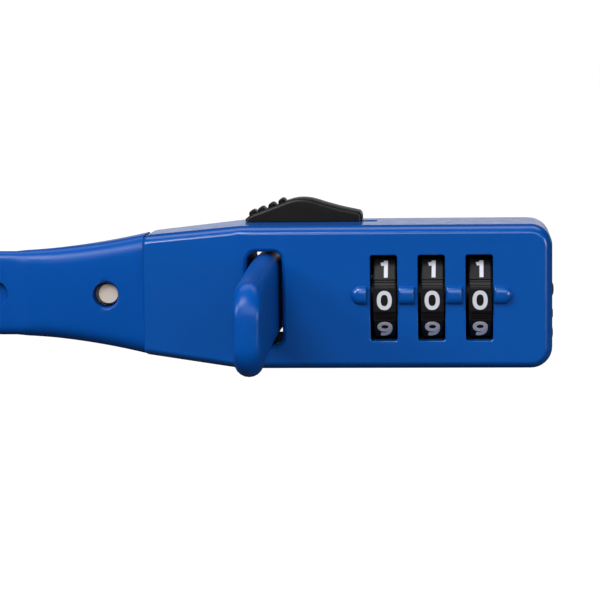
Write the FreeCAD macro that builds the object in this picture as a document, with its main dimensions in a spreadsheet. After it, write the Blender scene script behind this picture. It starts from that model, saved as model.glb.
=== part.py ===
"""A strap combination lock: a flat head with three dials, and a steel-cored strap that loops behind
the head and comes back through a slot in it.

Frame: millimetres, origin at the centre of the head's flat back face. +X runs along the head towards
the dial end, +Y points away from the user behind the head, +Z is up.
"""

import FreeCAD, Part
import Sketcher
import math
import os
import re

X_AXIS = FreeCAD.Vector(1, 0, 0)
Y_AXIS = FreeCAD.Vector(0, 1, 0)
Z_AXIS = FreeCAD.Vector(0, 0, 1)
AXES = {"X": X_AXIS, "Y": Y_AXIS, "Z": Z_AXIS}

# The driving dimensions, each a cell of the sheet
SIZES = {
    "case_length": 59.6,
    "case_height": 20.8,
    "case_depth": 16.0,
    "wall": 1.8,
    "cover_thick": 1.6,
    "corner_round": 3.6,
    "front_round": 0.8,
    "end_round": 1.0,
    "end_height": 17.6,
    "end_length": 14.6,
    "facet_drop": 4.0,
    "slot_from_end": 18.3,
    "slot_width": 5.0,
    "slot_height": 13.6,
    "slot_round": 0.8,
    "liner_thick": 0.5,
    "dials_from_end": 42.3,
    "dial_offset": 0.15,
    "dial_pitch": 6.84,
    "dial_radius": 7.5,
    "dial_width": 3.3,
    "dial_proud": 0.7,
    "dial_bore": 4.4,
    "dial_groove": 0.3,
    "window_width": 3.9,
    "window_height": 12.4,
    "ridge_length": 23.1,
    "ridge_height": 2.65,
    "ridge_proud": 0.8,
    "ridge_lift": 0.45,
    "sleeve_bore": 2.9,
    "detent_radius": 5.0,
    "detent_width": 1.6,
    "shaft_radius": 1.5,
    "arm_from_end": 28.2,
    "fin_reach": 2.7,
    "plate_thick": 0.7,
    "plate_offset": 4.2,
    "slider_from_end": 14.8,
    "slider_length": 17.2,
    "slider_rise": 3.4,
    "slider_depth": 5.4,
    "slider_back": 2.6,
    "slider_travel": 2.2,
    "slider_mid": 6.3,
    "stem_width": 2.4,
    "carrier_thick": 0.5,
    "pawl_from_end": 10.2,
    "pawl_depth": 7.0,
    "pawl_height": 7.0,
    "pawl_bore": 0.8,
    "fork_reach": 4.0,
    "screw_radius": 0.8,
    "screw_head": 1.5,
    "screw_length": 7.0,
    "screw_inset": 3.7,
    "screw_lift": 6.5,
    "screw_by_slot": 6.9,
    "screw_slot_lift": 5.3,
    "boss_radius": 1.7,
    "pin_radius": 1.0,
    "pin_lift": 2.2,
    "reset_radius": 1.1,
    "reset_proud": 0.5,
    "reset_depth": 4.6,
    "fit_gap": 0.1,
    "run_gap": 0.25,
    "strap_width": 12.5,
    "strap_thick": 3.4,
    "core_width": 8.0,
    "core_thick": 1.2,
    "strap_depth": 6.5,
    "root_width": 17.6,
    "root_thick": 9.8,
    "flare_length": 24.0,
    "root_straight": 18.2,
    "side_radius": 75.0,
    "tail_reach": 32.0,
    "tail_sag": 0.4,
    "tip_round": 4.5,
    "loop_drop": 14.0,
    "loop_level": 5.0,
    "hole_radius": 1.9,
    "hole_pitch": 17.0,
    "first_hole": 5.8,
    "tooth_pitch": 2.0,
    "tooth_depth": 0.7,
}

# Places worked out from the driving dimensions
LEFT = "(-case_length / 2)"
RIGHT = "(case_length / 2)"
FRONT = "(-case_depth)"
TOP = "(case_height / 2)"
INNER_TOP = "(case_height / 2 - wall)"
FACET_X = "(end_length - case_length / 2)"
SLOT_X = "(slot_from_end - case_length / 2)"
WINDOWS_X = "(dials_from_end - case_length / 2)"
DIAL_Y = "(dial_radius - dial_proud - case_depth)"
SLIDER_X = "(slider_from_end - case_length / 2)"
CARRIER_LOW = "(slot_height / 2 + liner_thick + fit_gap)"
PAWL_X = "(pawl_from_end - case_length / 2)"
PAWL_Y = "(-pawl_depth)"
ANCHOR_X = f"({LEFT} + wall + 1.7)"
ARM_X = "(arm_from_end - case_length / 2)"

DIALS = (1, 2, 3)
DIGITS = 10
SCREW_PLACES = (
    (f"{RIGHT} - screw_inset", "screw_lift"),
    (f"{RIGHT} - screw_inset", "-screw_lift"),
    (f"{SLOT_X} + screw_by_slot", "screw_slot_lift"),
    (f"{SLOT_X} + screw_by_slot", "-screw_slot_lift"),
)
ANCHOR_ZS = ("pin_lift", "-pin_lift")

# Where the loop bends: degrees round the side arc, then degrees round the return arc
SIDE_BENDS = (10, 50, 90)
RETURN_BENDS = (45, 90, 135, 175)

doc = FreeCAD.newDocument("StrapLock")
sheet = doc.addObject("Spreadsheet::Sheet", "Sizes")
for row, (alias, size) in enumerate(SIZES.items(), start=1):
    sheet.set(f"A{row}", alias)
    sheet.set(f"B{row}", str(size))
    sheet.setAlias(f"B{row}", alias)
doc.recompute()


def bound(text):
    """The expression with each alias written as a cell of the sheet."""
    return re.sub(r"[a-z]+(_[a-z]+)*", name_cell, str(text))


def name_cell(word):
    """A word of an expression: a cell's full name if it is an alias."""
    return f"Sizes.{word.group(0)}" if word.group(0) in SIZES else word.group(0)


def number(text):
    """What an expression comes to."""
    return float(sheet.evalExpression(bound(text)))


def dial_x(dial):
    """The middle of a dial along the head."""
    return f"({WINDOWS_X} + dial_offset + {dial - 2} * dial_pitch)"


# Part primitives and booleans


def box(name, xs, ys, zs):
    """A box between two expressions along each axis."""
    solid = doc.addObject("Part::Box", name)
    for side, axis, (low, high) in zip(("Length", "Width", "Height"), "xyz", (xs, ys, zs)):
        solid.setExpression(side, bound(f"({high}) - ({low})"))
        solid.setExpression(f"Placement.Base.{axis}", bound(low))
    return solid


def rod(name, axis, ends, centre, radius):
    """A cylinder along X, Y or Z between two ends; centre is its place on the other two axes."""
    solid = doc.addObject("Part::Cylinder", name)
    solid.Placement = FreeCAD.Placement(FreeCAD.Vector(), FreeCAD.Rotation(Z_AXIS, AXES[axis]))
    solid.setExpression("Radius", bound(radius))
    solid.setExpression("Height", bound(f"({ends[1]}) - ({ends[0]})"))
    places = dict(zip([other for other in "XYZ" if other != axis], centre))
    places[axis] = ends[0]
    for letter, place in places.items():
        solid.setExpression(f"Placement.Base.{letter.lower()}", bound(place))
    return solid


def fuse(name, *pieces):
    """Several pieces as one."""
    solid = doc.addObject("Part::MultiFuse", name)
    solid.Shapes = list(pieces)
    return solid


def cut(name, base, *tools):
    """The base with every tool taken away."""
    solid = doc.addObject("Part::Cut", name)
    solid.Base = base
    solid.Tool = tools[0] if len(tools) == 1 else fuse(f"{name}_tools", *tools)
    return solid


# PartDesign bodies


def new_body(name):
    """An empty body."""
    return doc.addObject("PartDesign::Body", name)


def new_sketch(body, name, role, offset="0"):
    """A sketch on one of the body's own planes, moved along the plane's normal."""
    sketch = body.newObject("Sketcher::SketchObject", name)
    plane = [feature for feature in body.Origin.OriginFeatures if feature.Role == role][0]
    sketch.AttachmentSupport = [(plane, "")]
    sketch.MapMode = "FlatFace"
    sketch.setExpression("AttachmentOffset.Base.z", bound(offset))
    return sketch


def hold(sketch, index, position, x, y):
    """Holds a point of the sketch at two expressions."""
    for kind, place in (("DistanceX", x), ("DistanceY", y)):
        constraint = Sketcher.Constraint(kind, -1, 1, index, position, number(place))
        at = sketch.addConstraint(constraint)
        sketch.setExpression(f"Constraints[{at}]", bound(place))


def outline(sketch, *points):
    """A closed run of straight lines through points given as pairs of expressions."""
    corners = [FreeCAD.Vector(number(x), number(y), 0) for x, y in points]
    first = sketch.GeometryCount
    for start, end in zip(corners, corners[1:] + corners[:1]):
        sketch.addGeometry(Part.LineSegment(start, end))
    for step, (x, y) in enumerate(points):
        after = first + (step + 1) % len(points)
        sketch.addConstraint(Sketcher.Constraint("Coincident", first + step, 2, after, 1))
        hold(sketch, first + step, 1, x, y)


def rectangle(sketch, xs, ys):
    """A rectangle between two expressions each way."""
    outline(sketch, (xs[0], ys[0]), (xs[1], ys[0]), (xs[1], ys[1]), (xs[0], ys[1]))


def circle(sketch, x, y, radius):
    """A circle whose centre and radius are expressions."""
    centre = FreeCAD.Vector(number(x), number(y), 0)
    at = sketch.addGeometry(Part.Circle(centre, Z_AXIS, number(radius)))
    hold(sketch, at, 3, x, y)
    constraint = sketch.addConstraint(Sketcher.Constraint("Radius", at, number(radius)))
    sketch.setExpression(f"Constraints[{constraint}]", bound(radius))


def pad(body, sketch, length, both_ways=False):
    """A pad along the sketch's normal, or half each way."""
    feature = body.newObject("PartDesign::Pad", f"{sketch.Name}_pad")
    feature.Profile = sketch
    feature.Midplane = both_ways
    feature.setExpression("Length", bound(length))
    doc.recompute()
    return feature


def pocket(body, sketch, length, both_ways=False):
    """A pocket along the sketch's normal, or half each way, which must take something away."""
    before = body.Shape.Volume
    feature = body.newObject("PartDesign::Pocket", f"{sketch.Name}_pocket")
    feature.Profile = sketch
    feature.Midplane = both_ways
    feature.Reversed = not both_ways
    feature.setExpression("Length", bound(length))
    doc.recompute()
    if body.Shape.Volume >= before:
        raise ValueError(f"{feature.Name} cuts nothing")
    return feature


def round_edges(body, name, radius, wanted):
    """A fillet on the edges that the test accepts."""
    base = body.Tip
    names = [f"Edge{at}" for at, edge in enumerate(base.Shape.Edges, 1) if wanted(edge)]
    feature = body.newObject("PartDesign::Fillet", name)
    feature.Base = (base, names)
    feature.setExpression("Radius", bound(radius))
    doc.recompute()
    return feature


def turn_copies(body, name, feature, count):
    """Copies of a feature, evenly round the body's X axis."""
    axis = [origin for origin in body.Origin.OriginFeatures if origin.Role == "X_Axis"][0]
    pattern = body.newObject("PartDesign::PolarPattern", name)
    pattern.Originals = [feature]
    pattern.Axis = (axis, [""])
    pattern.Angle = 360
    pattern.Occurrences = count
    body.Tip = pattern
    doc.recompute()
    return pattern


def place_on_dial_axis(body, x):
    """Moves a body drawn round its own X axis to a place on the dials' axis."""
    body.setExpression("Placement.Base.x", bound(x))
    body.setExpression("Placement.Base.y", bound(DIAL_Y))


def runs_along(edge, axis):
    """Whether an edge is a straight line along an axis."""
    ends = [vertex.Point for vertex in edge.Vertexes]
    return len(ends) == 2 and (ends[1] - ends[0]).cross(axis).Length < 0.01


def lies_at(edge, letter, place):
    """Whether both ends of an edge have the given coordinate."""
    at = "XYZ".index(letter)
    return all(abs(vertex.Point[at] - place) < 0.01 for vertex in edge.Vertexes)


# The head's case


def head_outline(inset):
    """The head seen from the front, drawn in by an amount."""
    end = f"(end_height / 2 - {inset})"
    side = f"(case_height / 2 - {inset})"
    bend = "(end_length - case_length / 2)"
    left = f"({LEFT} + {inset})"
    right = f"({RIGHT} - {inset})"
    lower = [(left, f"-{end}"), (bend, f"-{side}"), (right, f"-{side}")]
    upper = [(right, side), (bend, side), (left, end)]
    return lower + upper


def around(middle, size):
    """The two expressions half a size either side of a middle."""
    return (f"({middle}) - ({size}) / 2", f"({middle}) + ({size}) / 2")


def hollow(body):
    """Shells the case out from its open back."""
    back = number("-cover_thick")
    solid = body.Tip
    faces = [
        f"Face{at}"
        for at, face in enumerate(solid.Shape.Faces, 1)
        if abs(face.BoundBox.YMin - back) < 0.01
    ]
    shell = body.newObject("PartDesign::Thickness", "case_hollow")
    shell.Base = (solid, faces)
    shell.setExpression("Value", "Sizes.wall")
    shell.Reversed = True
    shell.Intersection = True
    doc.recompute()


def round_case(body):
    """Rounds the right end's corners, the left end's corners and the front rim."""
    left, right, front = number(LEFT), number(RIGHT), number(FRONT)
    bend = number(FACET_X)

    def right_corner(edge):
        return runs_along(edge, Y_AXIS) and lies_at(edge, "X", right)

    def left_corner(edge):
        return runs_along(edge, Y_AXIS) and lies_at(edge, "X", left)

    def front_rim(edge):
        middle = edge.CenterOfMass
        on_front = lies_at(edge, "Y", front) and not lies_at(edge, "X", bend)
        above_end = abs(middle.z) > number("end_height / 2")
        beside_facet = middle.x < bend and above_end and not runs_along(edge, Y_AXIS)
        on_facet = beside_facet and middle.y < number("facet_drop - case_depth + 0.1")
        return on_front or on_facet

    round_edges(body, "case_right_corners", "corner_round", right_corner)
    round_edges(body, "case_left_corners", "end_round", left_corner)
    round_edges(body, "case_rim", "front_round", front_rim)


def add_ridge(body):
    """The raised index ridge across the dials."""
    ridge = new_sketch(body, "ridge", "XZ_Plane", "case_depth - wall / 2")
    rectangle(ridge, around(WINDOWS_X, "ridge_length"), around("ridge_lift", "ridge_height"))
    pad(body, ridge, "wall / 2 + ridge_proud")
    crest = number(f"{FRONT} - ridge_proud")
    ends = [number(end) for end in around(WINDOWS_X, "ridge_length")]

    def ridge_corner(edge):
        at_end = any(lies_at(edge, "X", end) for end in ends)
        return at_end and runs_along(edge, Y_AXIS) and edge.CenterOfMass.y < number(FRONT)

    round_edges(body, "ridge_ends", "ridge_height * 0.49", ridge_corner)
    round_edges(body, "ridge_crest", "ridge_proud * 0.8", lambda edge: lies_at(edge, "Y", crest))


def open_case(body):
    """Cuts the case's windows, slot, slider opening, root door and reset hole."""
    windows = new_sketch(body, "windows", "XZ_Plane", "case_depth - wall * 1.5")
    for dial in DIALS:
        middle = f"{WINDOWS_X} + {dial - 2} * dial_pitch"
        rectangle(windows, around(middle, "window_width"), around("0", "window_height"))
    pocket(body, windows, "wall * 3")

    slot = new_sketch(body, "slot", "XZ_Plane", "case_depth - wall * 1.5")
    rectangle(slot, around(SLOT_X, "slot_width"), around("0", "slot_height"))
    pocket(body, slot, "wall * 3")
    sides = [number(side) for side in around(SLOT_X, "slot_width")]
    round_edges(
        body,
        "slot_corners",
        "slot_round",
        lambda edge: runs_along(edge, Y_AXIS) and any(lies_at(edge, "X", side) for side in sides),
    )

    opening = new_sketch(body, "slider_opening", "XY_Plane", f"{TOP} - wall * 1.5")
    opening_xs = (f"{SLIDER_X} + 1", f"{SLIDER_X} + slider_length + slider_travel")
    rectangle(opening, opening_xs, around("-slider_mid", "stem_width + 2 * fit_gap"))
    pocket(body, opening, "wall * 3")

    door = new_sketch(body, "root_door", "YZ_Plane", f"{LEFT} - 0.5")
    door_ys = around("-strap_depth", "core_thick + 2 * fit_gap")
    rectangle(door, door_ys, around("0", "core_width + 2 * fit_gap"))
    pocket(body, door, "wall + 1")

    reset = new_sketch(body, "reset_hole", "YZ_Plane", f"{RIGHT} - wall - 0.5")
    circle(reset, "-reset_depth", "0", "reset_radius + fit_gap / 2")
    pocket(body, reset, "wall + 1")


def make_front_case():
    """The deep front moulding, with its openings and screw bosses."""
    body = new_body("front_case")
    outside = new_sketch(body, "case_outline", "XZ_Plane", "cover_thick")
    outline(outside, *head_outline("0"))
    pad(body, outside, "case_depth - cover_thick")

    facet = new_sketch(body, "case_facet", "XY_Plane")
    slope = "facet_drop / end_length"
    beyond = (f"{LEFT} - 1", f"facet_drop - case_depth + {slope}")
    outline(facet, beyond, (FACET_X, FRONT), (FACET_X, f"{FRONT} - 1"), (f"{LEFT} - 1", f"{FRONT} - 1"))
    pocket(body, facet, "case_height * 2", both_ways=True)

    hollow(body)
    round_case(body)
    add_ridge(body)
    open_case(body)

    bosses = new_sketch(body, "bosses", "XZ_Plane", "cover_thick")
    for x, z in SCREW_PLACES:
        circle(bosses, x, z, "boss_radius")
    pad(body, bosses, "case_depth - cover_thick - wall / 2")
    holes = new_sketch(body, "boss_holes", "XZ_Plane", "cover_thick - 0.5")
    for x, z in SCREW_PLACES:
        circle(holes, x, z, "screw_radius")
    pocket(body, holes, "screw_length + 0.5")
    return body


def make_back_cover():
    """The flat back cover, with countersunk screw holes and the slot's back opening."""
    body = new_body("back_cover")
    plate = new_sketch(body, "cover_outline", "XZ_Plane")
    outline(plate, *head_outline("0.05"))
    pad(body, plate, "cover_thick")
    right, left = number(f"{RIGHT} - 0.05"), number(f"{LEFT} + 0.05")
    round_edges(
        body,
        "cover_right_corners",
        "corner_round",
        lambda edge: runs_along(edge, Y_AXIS) and lies_at(edge, "X", right),
    )
    round_edges(
        body,
        "cover_left_corners",
        "end_round",
        lambda edge: runs_along(edge, Y_AXIS) and lies_at(edge, "X", left),
    )
    round_edges(body, "cover_rim", "cover_thick * 0.4", lambda edge: lies_at(edge, "Y", 0))

    slot = new_sketch(body, "cover_slot", "XZ_Plane", "-0.5")
    rectangle(slot, around(SLOT_X, "slot_width"), around("0", "slot_height"))
    pocket(body, slot, "cover_thick + 1")
    screws = new_sketch(body, "cover_holes", "XZ_Plane", "-0.5")
    for x, z in SCREW_PLACES:
        circle(screws, x, z, "screw_radius + fit_gap")
    pocket(body, screws, "cover_thick + 1")
    sinks = new_sketch(body, "cover_sinks", "XZ_Plane", "-0.5")
    for x, z in SCREW_PLACES:
        circle(sinks, x, z, "screw_head + fit_gap")
    pocket(body, sinks, "cover_thick / 2 + 0.5")
    pins = new_sketch(body, "cover_pin_holes", "XZ_Plane", "-0.5")
    for z in ANCHOR_ZS:
        circle(pins, ANCHOR_X, z, "pin_radius + fit_gap / 2")
    pocket(body, pins, "cover_thick + 1")
    return body


def make_cover_screws():
    """The four screws that hold the back cover, with hexagon sockets."""
    screws = []
    for at, (x, z) in enumerate(SCREW_PLACES, start=1):
        tip = "(-cover_thick - screw_length + 0.5)"
        shank = rod(f"screw_shank_{at}", "Y", (tip, "-cover_thick / 2"), (x, z), "screw_radius - 0.02")
        head = rod(f"screw_head_{at}", "Y", ("-cover_thick / 2", "-0.1"), (x, z), "screw_head")
        socket = doc.addObject("Part::Prism", f"screw_socket_{at}")
        socket.Polygon = 6
        socket.Placement = FreeCAD.Placement(FreeCAD.Vector(), FreeCAD.Rotation(Z_AXIS, Y_AXIS))
        socket.setExpression("Circumradius", bound("screw_head * 0.55"))
        socket.setExpression("Height", bound("cover_thick / 2"))
        for letter, place in zip("xyz", (x, "-cover_thick / 2 + 0.25", z)):
            socket.setExpression(f"Placement.Base.{letter}", bound(place))
        screws.append(cut(f"screw_{at}", fuse(f"screw_blank_{at}", shank, head), socket))
    return fuse("cover_screws", *screws)


# The slot's steel liner and the pawl


def make_slot_liner():
    """The steel sleeve round the slot, with a window for the pawl and two ears for its pin."""
    depth = ("-case_depth + wall + fit_gap", "-cover_thick - fit_gap")
    outer = box(
        "liner_outer",
        around(SLOT_X, "slot_width + 2 * liner_thick"),
        depth,
        around("0", "slot_height + 2 * liner_thick"),
    )
    beyond = ("-case_depth", "0")
    inner = box("liner_inner", around(SLOT_X, "slot_width"), beyond, around("0", "slot_height"))
    wall_x = f"({SLOT_X} - slot_width / 2)"
    window = box(
        "liner_window",
        (f"{wall_x} - 2 * liner_thick", f"{wall_x} + liner_thick"),
        (f"{PAWL_Y} - 5.6", f"{PAWL_Y} + 2.0"),
        around("0", "pawl_height + 2 * run_gap"),
    )
    shell = cut("liner_shell", outer, inner, window)
    ears = []
    for side, sign in (("upper", 1), ("lower", -1)):
        middle = f"{sign} * (pawl_height / 2 + run_gap + 0.5)"
        plate = box(
            f"{side}_ear_plate",
            (f"{PAWL_X} - 1.9", f"{wall_x} - liner_thick / 2"),
            (f"{PAWL_Y} - 1.9", f"{PAWL_Y} + 1.9"),
            around(middle, "1.0"),
        )
        hole = rod(
            f"{side}_ear_hole",
            "Z",
            around(middle, "2.0"),
            (PAWL_X, PAWL_Y),
            "pawl_bore + 0.01",
        )
        ears.append(cut(f"{side}_ear", plate, hole))
    return fuse("slot_liner", shell, *ears)


def fork_point(along, across):
    """A point of the pawl's fork, which leans back by half of the slider's travel."""
    half = "(slider_travel / 2)"
    length = f"sqrt(fork_reach ^ 2 + {half} ^ 2)"
    x = f"{PAWL_X} + (fork_reach * {across} - {half} * {along}) / {length}"
    y = f"{PAWL_Y} + (fork_reach * {along} + {half} * {across}) / {length}"
    return (x, y)


def pawl_point(x, y):
    """A point of the pawl's nose arm, from its pivot."""
    return (f"{PAWL_X} + {x}", f"{PAWL_Y} + {y}")


def make_pawl():
    """The bell crank that locks the strap: its nose faces the teeth, its fork takes the slider's peg."""
    body = new_body("pawl")
    shape = new_sketch(body, "pawl_outline", "XY_Plane")
    nose = [pawl_point(*point) for point in ((5.2, -1.7), (6.1, -0.2), (5.0, 0.9), (1.8, 1.1))]
    slot = ((4.9, 1.4), (4.9, 0.75), (3.2, 0.75), (3.2, -0.75), (4.9, -0.75), (4.9, -1.4))
    fork = [fork_point(*point) for point in slot]
    hub = [pawl_point(*point) for point in ((-1.8, 0.2), (-1.4, -1.4), (0.4, -1.9))]
    outline(shape, *nose, *fork, *hub)
    pad(body, shape, "pawl_height", both_ways=True)
    pivot = new_sketch(body, "pawl_pivot", "XY_Plane")
    circle(pivot, PAWL_X, PAWL_Y, "pawl_bore + 0.05")
    pocket(body, pivot, "pawl_height * 2", both_ways=True)
    return body


def make_pawl_pin():
    """The pin through the liner's ears and the pawl."""
    return rod("pawl_pin", "Z", around("0", "pawl_height + 3.4"), (PAWL_X, PAWL_Y), "pawl_bore")


def make_pawl_spring():
    """The torsion spring under the pawl, as the closed outer shape of its coils."""
    low = "(-pawl_height / 2 - run_gap - 1.0 - 1.3)"
    ends = (low, f"{low} + 1.2")
    coils = rod("pawl_spring_coils", "Z", ends, (PAWL_X, PAWL_Y), "pawl_bore + 0.9")
    clear = rod("pawl_spring_clear", "Z", around(low, "6"), (PAWL_X, PAWL_Y), "pawl_bore + 0.4")
    return cut("pawl_spring", coils, clear)


# The thumb slider and what it moves


def make_thumb_slider():
    """The humped thumb piece on top, its stem through the case and its foot under the wall."""
    body = new_body("thumb_slider")
    right = f"({SLIDER_X} + slider_length)"
    peak = f"({SLIDER_X} + slider_length * 0.48)"
    profile = new_sketch(body, "slider_profile", "XZ_Plane", "slider_back")
    outline(
        profile,
        (SLIDER_X, f"{TOP} + fit_gap"),
        (right, f"{TOP} + fit_gap"),
        (right, f"{TOP} + slider_rise * 0.34"),
        (peak, f"{TOP} + slider_rise"),
        (f"{SLIDER_X} + 0.4", f"{TOP} + slider_rise * 0.16"),
    )
    pad(body, profile, "slider_depth")
    peak_x = number(peak)
    right_x = number(right)
    high = number(f"{TOP} + slider_rise * 0.34")
    round_edges(body, "slider_peak", "3", lambda edge: lies_at(edge, "X", peak_x))
    round_edges(
        body,
        "slider_end",
        "0.6",
        lambda edge: lies_at(edge, "X", right_x) and lies_at(edge, "Z", high),
    )
    stem = new_sketch(body, "slider_stem", "XY_Plane", f"{CARRIER_LOW} + carrier_thick")
    stem_xs = (f"{SLIDER_X} + 1 + run_gap", f"{right} - run_gap")
    rectangle(stem, stem_xs, around("-slider_mid", "stem_width"))
    pad(body, stem, f"{TOP} + slider_rise / 8 - {CARRIER_LOW} - carrier_thick")
    foot = new_sketch(body, "slider_foot", "XY_Plane", f"{CARRIER_LOW} + carrier_thick")
    rectangle(foot, (f"{SLIDER_X} + 1.5", f"{right} - 1.5"), around("-slider_mid", "stem_width * 2"))
    pad(body, foot, f"{INNER_TOP} - fit_gap - {CARRIER_LOW} - carrier_thick")
    return body


def make_slider_carrier():
    """The steel strip under the slider, with the peg for the pawl and the arm for the code shaft."""
    peg_x = f"({PAWL_X} - slider_travel / 2)"
    peg_y = f"({PAWL_Y} + fork_reach)"
    zs = (CARRIER_LOW, f"{CARRIER_LOW} + carrier_thick")
    strip = box("carrier_strip", (f"{PAWL_X} - 1", "1.4"), around("-slider_mid", "5.0"), zs)
    tab = box("carrier_tab", (f"{peg_x} - 0.7", f"{PAWL_X} + 3"), (f"{peg_y} - 1", f"{peg_y} + 0.7"), zs)
    peg = rod("carrier_peg", "Z", ("0", zs[1]), (peg_x, peg_y), "0.6")
    arm = box(
        "carrier_arm",
        (ARM_X, f"{ARM_X} + 1"),
        (f"{DIAL_Y} - 2.6", "-slider_mid + 2.0"),
        ("-2.6", CARRIER_LOW),
    )
    hole = rod("carrier_arm_hole", "X", around(ARM_X, "6"), (DIAL_Y, "0"), "shaft_radius * 0.6")
    return fuse("slider_carrier", strip, tab, peg, cut("carrier_bored_arm", arm, hole))


def make_code_shaft():
    """The shaft through the dials, with a fin for each code sleeve and a spigot in the arm."""
    start = f"({ARM_X} + 1)"
    end = f"({dial_x(3)} + plate_offset + plate_thick)"
    main = rod("shaft_rod", "X", (start, end), (DIAL_Y, "0"), "shaft_radius")
    spigot = rod("shaft_spigot", "X", (f"{ARM_X} - 0.6", start), (DIAL_Y, "0"), "shaft_radius * 0.6")
    fins = [
        box(
            f"shaft_fin_{dial}",
            (f"{dial_x(dial)} - 0.7", dial_x(dial)),
            around(DIAL_Y, "0.8"),
            ("0", "fin_reach"),
        )
        for dial in DIALS
    ]
    return fuse("code_shaft", main, spigot, *fins)


def make_return_spring():
    """The coil spring that pushes the slider back, as the closed outer shape of its coils."""
    ends = (f"{ARM_X} + 1.05", f"{dial_x(0)} + plate_offset - plate_thick / 2 - 0.05")
    coils = rod("return_spring_coils", "X", ends, (DIAL_Y, "0"), "shaft_radius + 0.7")
    clear = rod("return_spring_clear", "X", around(ARM_X, "20"), (DIAL_Y, "0"), "shaft_radius + 0.2")
    return cut("return_spring", coils, clear)


# The dials


def make_dial_wheel(dial):
    """A numbered wheel, with a groove between each two digits."""
    body = new_body(f"dial_wheel_{dial}")
    ring = new_sketch(body, f"wheel_ring_{dial}", "YZ_Plane", "-dial_width / 2")
    circle(ring, "0", "0", "dial_radius")
    circle(ring, "0", "0", "dial_bore")
    pad(body, ring, "dial_width")
    groove = new_sketch(body, f"wheel_groove_{dial}", "YZ_Plane", "-dial_width")
    rectangle(groove, around("0", "dial_groove * 2"), ("dial_radius - dial_groove", "dial_radius + 1"))
    turn_copies(body, f"wheel_grooves_{dial}", pocket(body, groove, "dial_width * 2"), DIGITS)
    place_on_dial_axis(body, dial_x(dial))
    return body


def make_code_sleeve(dial):
    """The sleeve inside a wheel, with its keyway and the notched rim that the detent spring feels."""
    body = new_body(f"code_sleeve_{dial}")
    tube = new_sketch(body, f"sleeve_tube_{dial}", "YZ_Plane", "-dial_width / 2")
    circle(tube, "0", "0", "dial_bore")
    circle(tube, "0", "0", "sleeve_bore")
    pad(body, tube, "dial_width")
    rim = new_sketch(body, f"sleeve_rim_{dial}", "YZ_Plane", "dial_width / 2")
    circle(rim, "0", "0", "detent_radius")
    circle(rim, "0", "0", "sleeve_bore")
    pad(body, rim, "detent_width")
    key = new_sketch(body, f"sleeve_key_{dial}", "YZ_Plane", "-dial_width")
    rectangle(key, around("0", "1.0"), ("sleeve_bore - 0.5", "sleeve_bore + 0.4"))
    pocket(body, key, "dial_width * 3")
    notch = new_sketch(body, f"sleeve_notch_{dial}", "YZ_Plane", "dial_width / 2")
    rectangle(notch, around("0", "0.9"), ("-detent_radius - 0.5", "-detent_radius + 0.45"))
    turn_copies(body, f"sleeve_notches_{dial}", pocket(body, notch, "detent_width * 2"), DIGITS)
    place_on_dial_axis(body, dial_x(dial))
    return body


def make_dial_cage():
    """The bracket between the dials: a floor, four uprights and the rings that the sleeves turn on."""
    floor = (f"-{INNER_TOP} + 0.05", f"-{INNER_TOP} + 0.55")
    first = f"{dial_x(0)} + plate_offset"
    last = f"{dial_x(3)} + plate_offset"
    depth = ("-case_depth + wall + 1", "-cover_thick - 1")
    pieces = [box("cage_floor", (f"{first} - plate_thick / 2", f"{last} + plate_thick / 2"), depth, floor)]
    ring_reach = "(plate_offset - plate_thick / 2 - dial_width / 2 - detent_width + 0.8)"
    for plate in range(len(DIALS) + 1):
        middle = f"{dial_x(plate)} + plate_offset"
        heights = (floor[0], f"{CARRIER_LOW} - 0.3")
        pieces.append(box(f"cage_plate_{plate}", around(middle, "plate_thick"), depth, heights))
        if plate > 0:
            ends = (f"{middle} - plate_thick / 2 - {ring_reach}", middle)
            pieces.append(rod(f"cage_left_ring_{plate}", "X", ends, (DIAL_Y, "0"), "sleeve_bore - 0.08"))
        if plate < len(DIALS):
            reach = "(dial_pitch - plate_offset - dial_width / 2 + 0.8)"
            ends = (middle, f"{middle} + {reach}")
            pieces.append(rod(f"cage_right_ring_{plate}", "X", ends, (DIAL_Y, "0"), "sleeve_bore - 0.08"))
    long_xs = (f"{first} - 5", f"{last} + 5")
    bore = rod("cage_bore", "X", long_xs, (DIAL_Y, "0"), "shaft_radius + 0.06")
    keyway = box("cage_keyway", long_xs, around(DIAL_Y, "1.0"), ("0", "sleeve_bore"))
    spring_way = box(
        "cage_spring_way",
        long_xs,
        around(DIAL_Y, "2.2"),
        (f"{floor[1]} - 0.01", f"{floor[1]} + 0.6"),
    )
    return cut("dial_cage", fuse("cage_blank", *pieces), bore, keyway, spring_way)


def make_detent_spring():
    """The leaf spring under the dials, with a finger for each sleeve's notched rim."""
    low = f"(-{INNER_TOP} + 0.6)"
    xs = (f"{dial_x(0)} + plate_offset + 1", f"{dial_x(3)} + plate_offset - plate_thick")
    pieces = [box("detent_strip", xs, around(DIAL_Y, "1.8"), (low, f"{low} + 0.25"))]
    for dial in DIALS:
        rim_x = f"{dial_x(dial)} + dial_width / 2 + detent_width / 2"
        tip = ("-detent_radius - 0.15")
        pieces.append(box(f"detent_finger_{dial}", around(rim_x, "1.0"), around(DIAL_Y, "0.7"), (low, tip)))
    return fuse("detent_spring", *pieces)


# The reset button


def make_reset_button():
    """The small button at the dial end, with the collar that keeps it in."""
    centre = ("-reset_depth", "0")
    stem_xs = (f"{RIGHT} - wall - 1.5", f"{RIGHT} + reset_proud")
    stem = rod("reset_stem", "X", stem_xs, centre, "reset_radius")
    collar_xs = (f"{RIGHT} - wall - 0.8", f"{RIGHT} - wall - 0.05")
    collar = rod("reset_collar", "X", collar_xs, centre, "reset_radius + 0.5")
    return fuse("reset_button", stem, collar)


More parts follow.
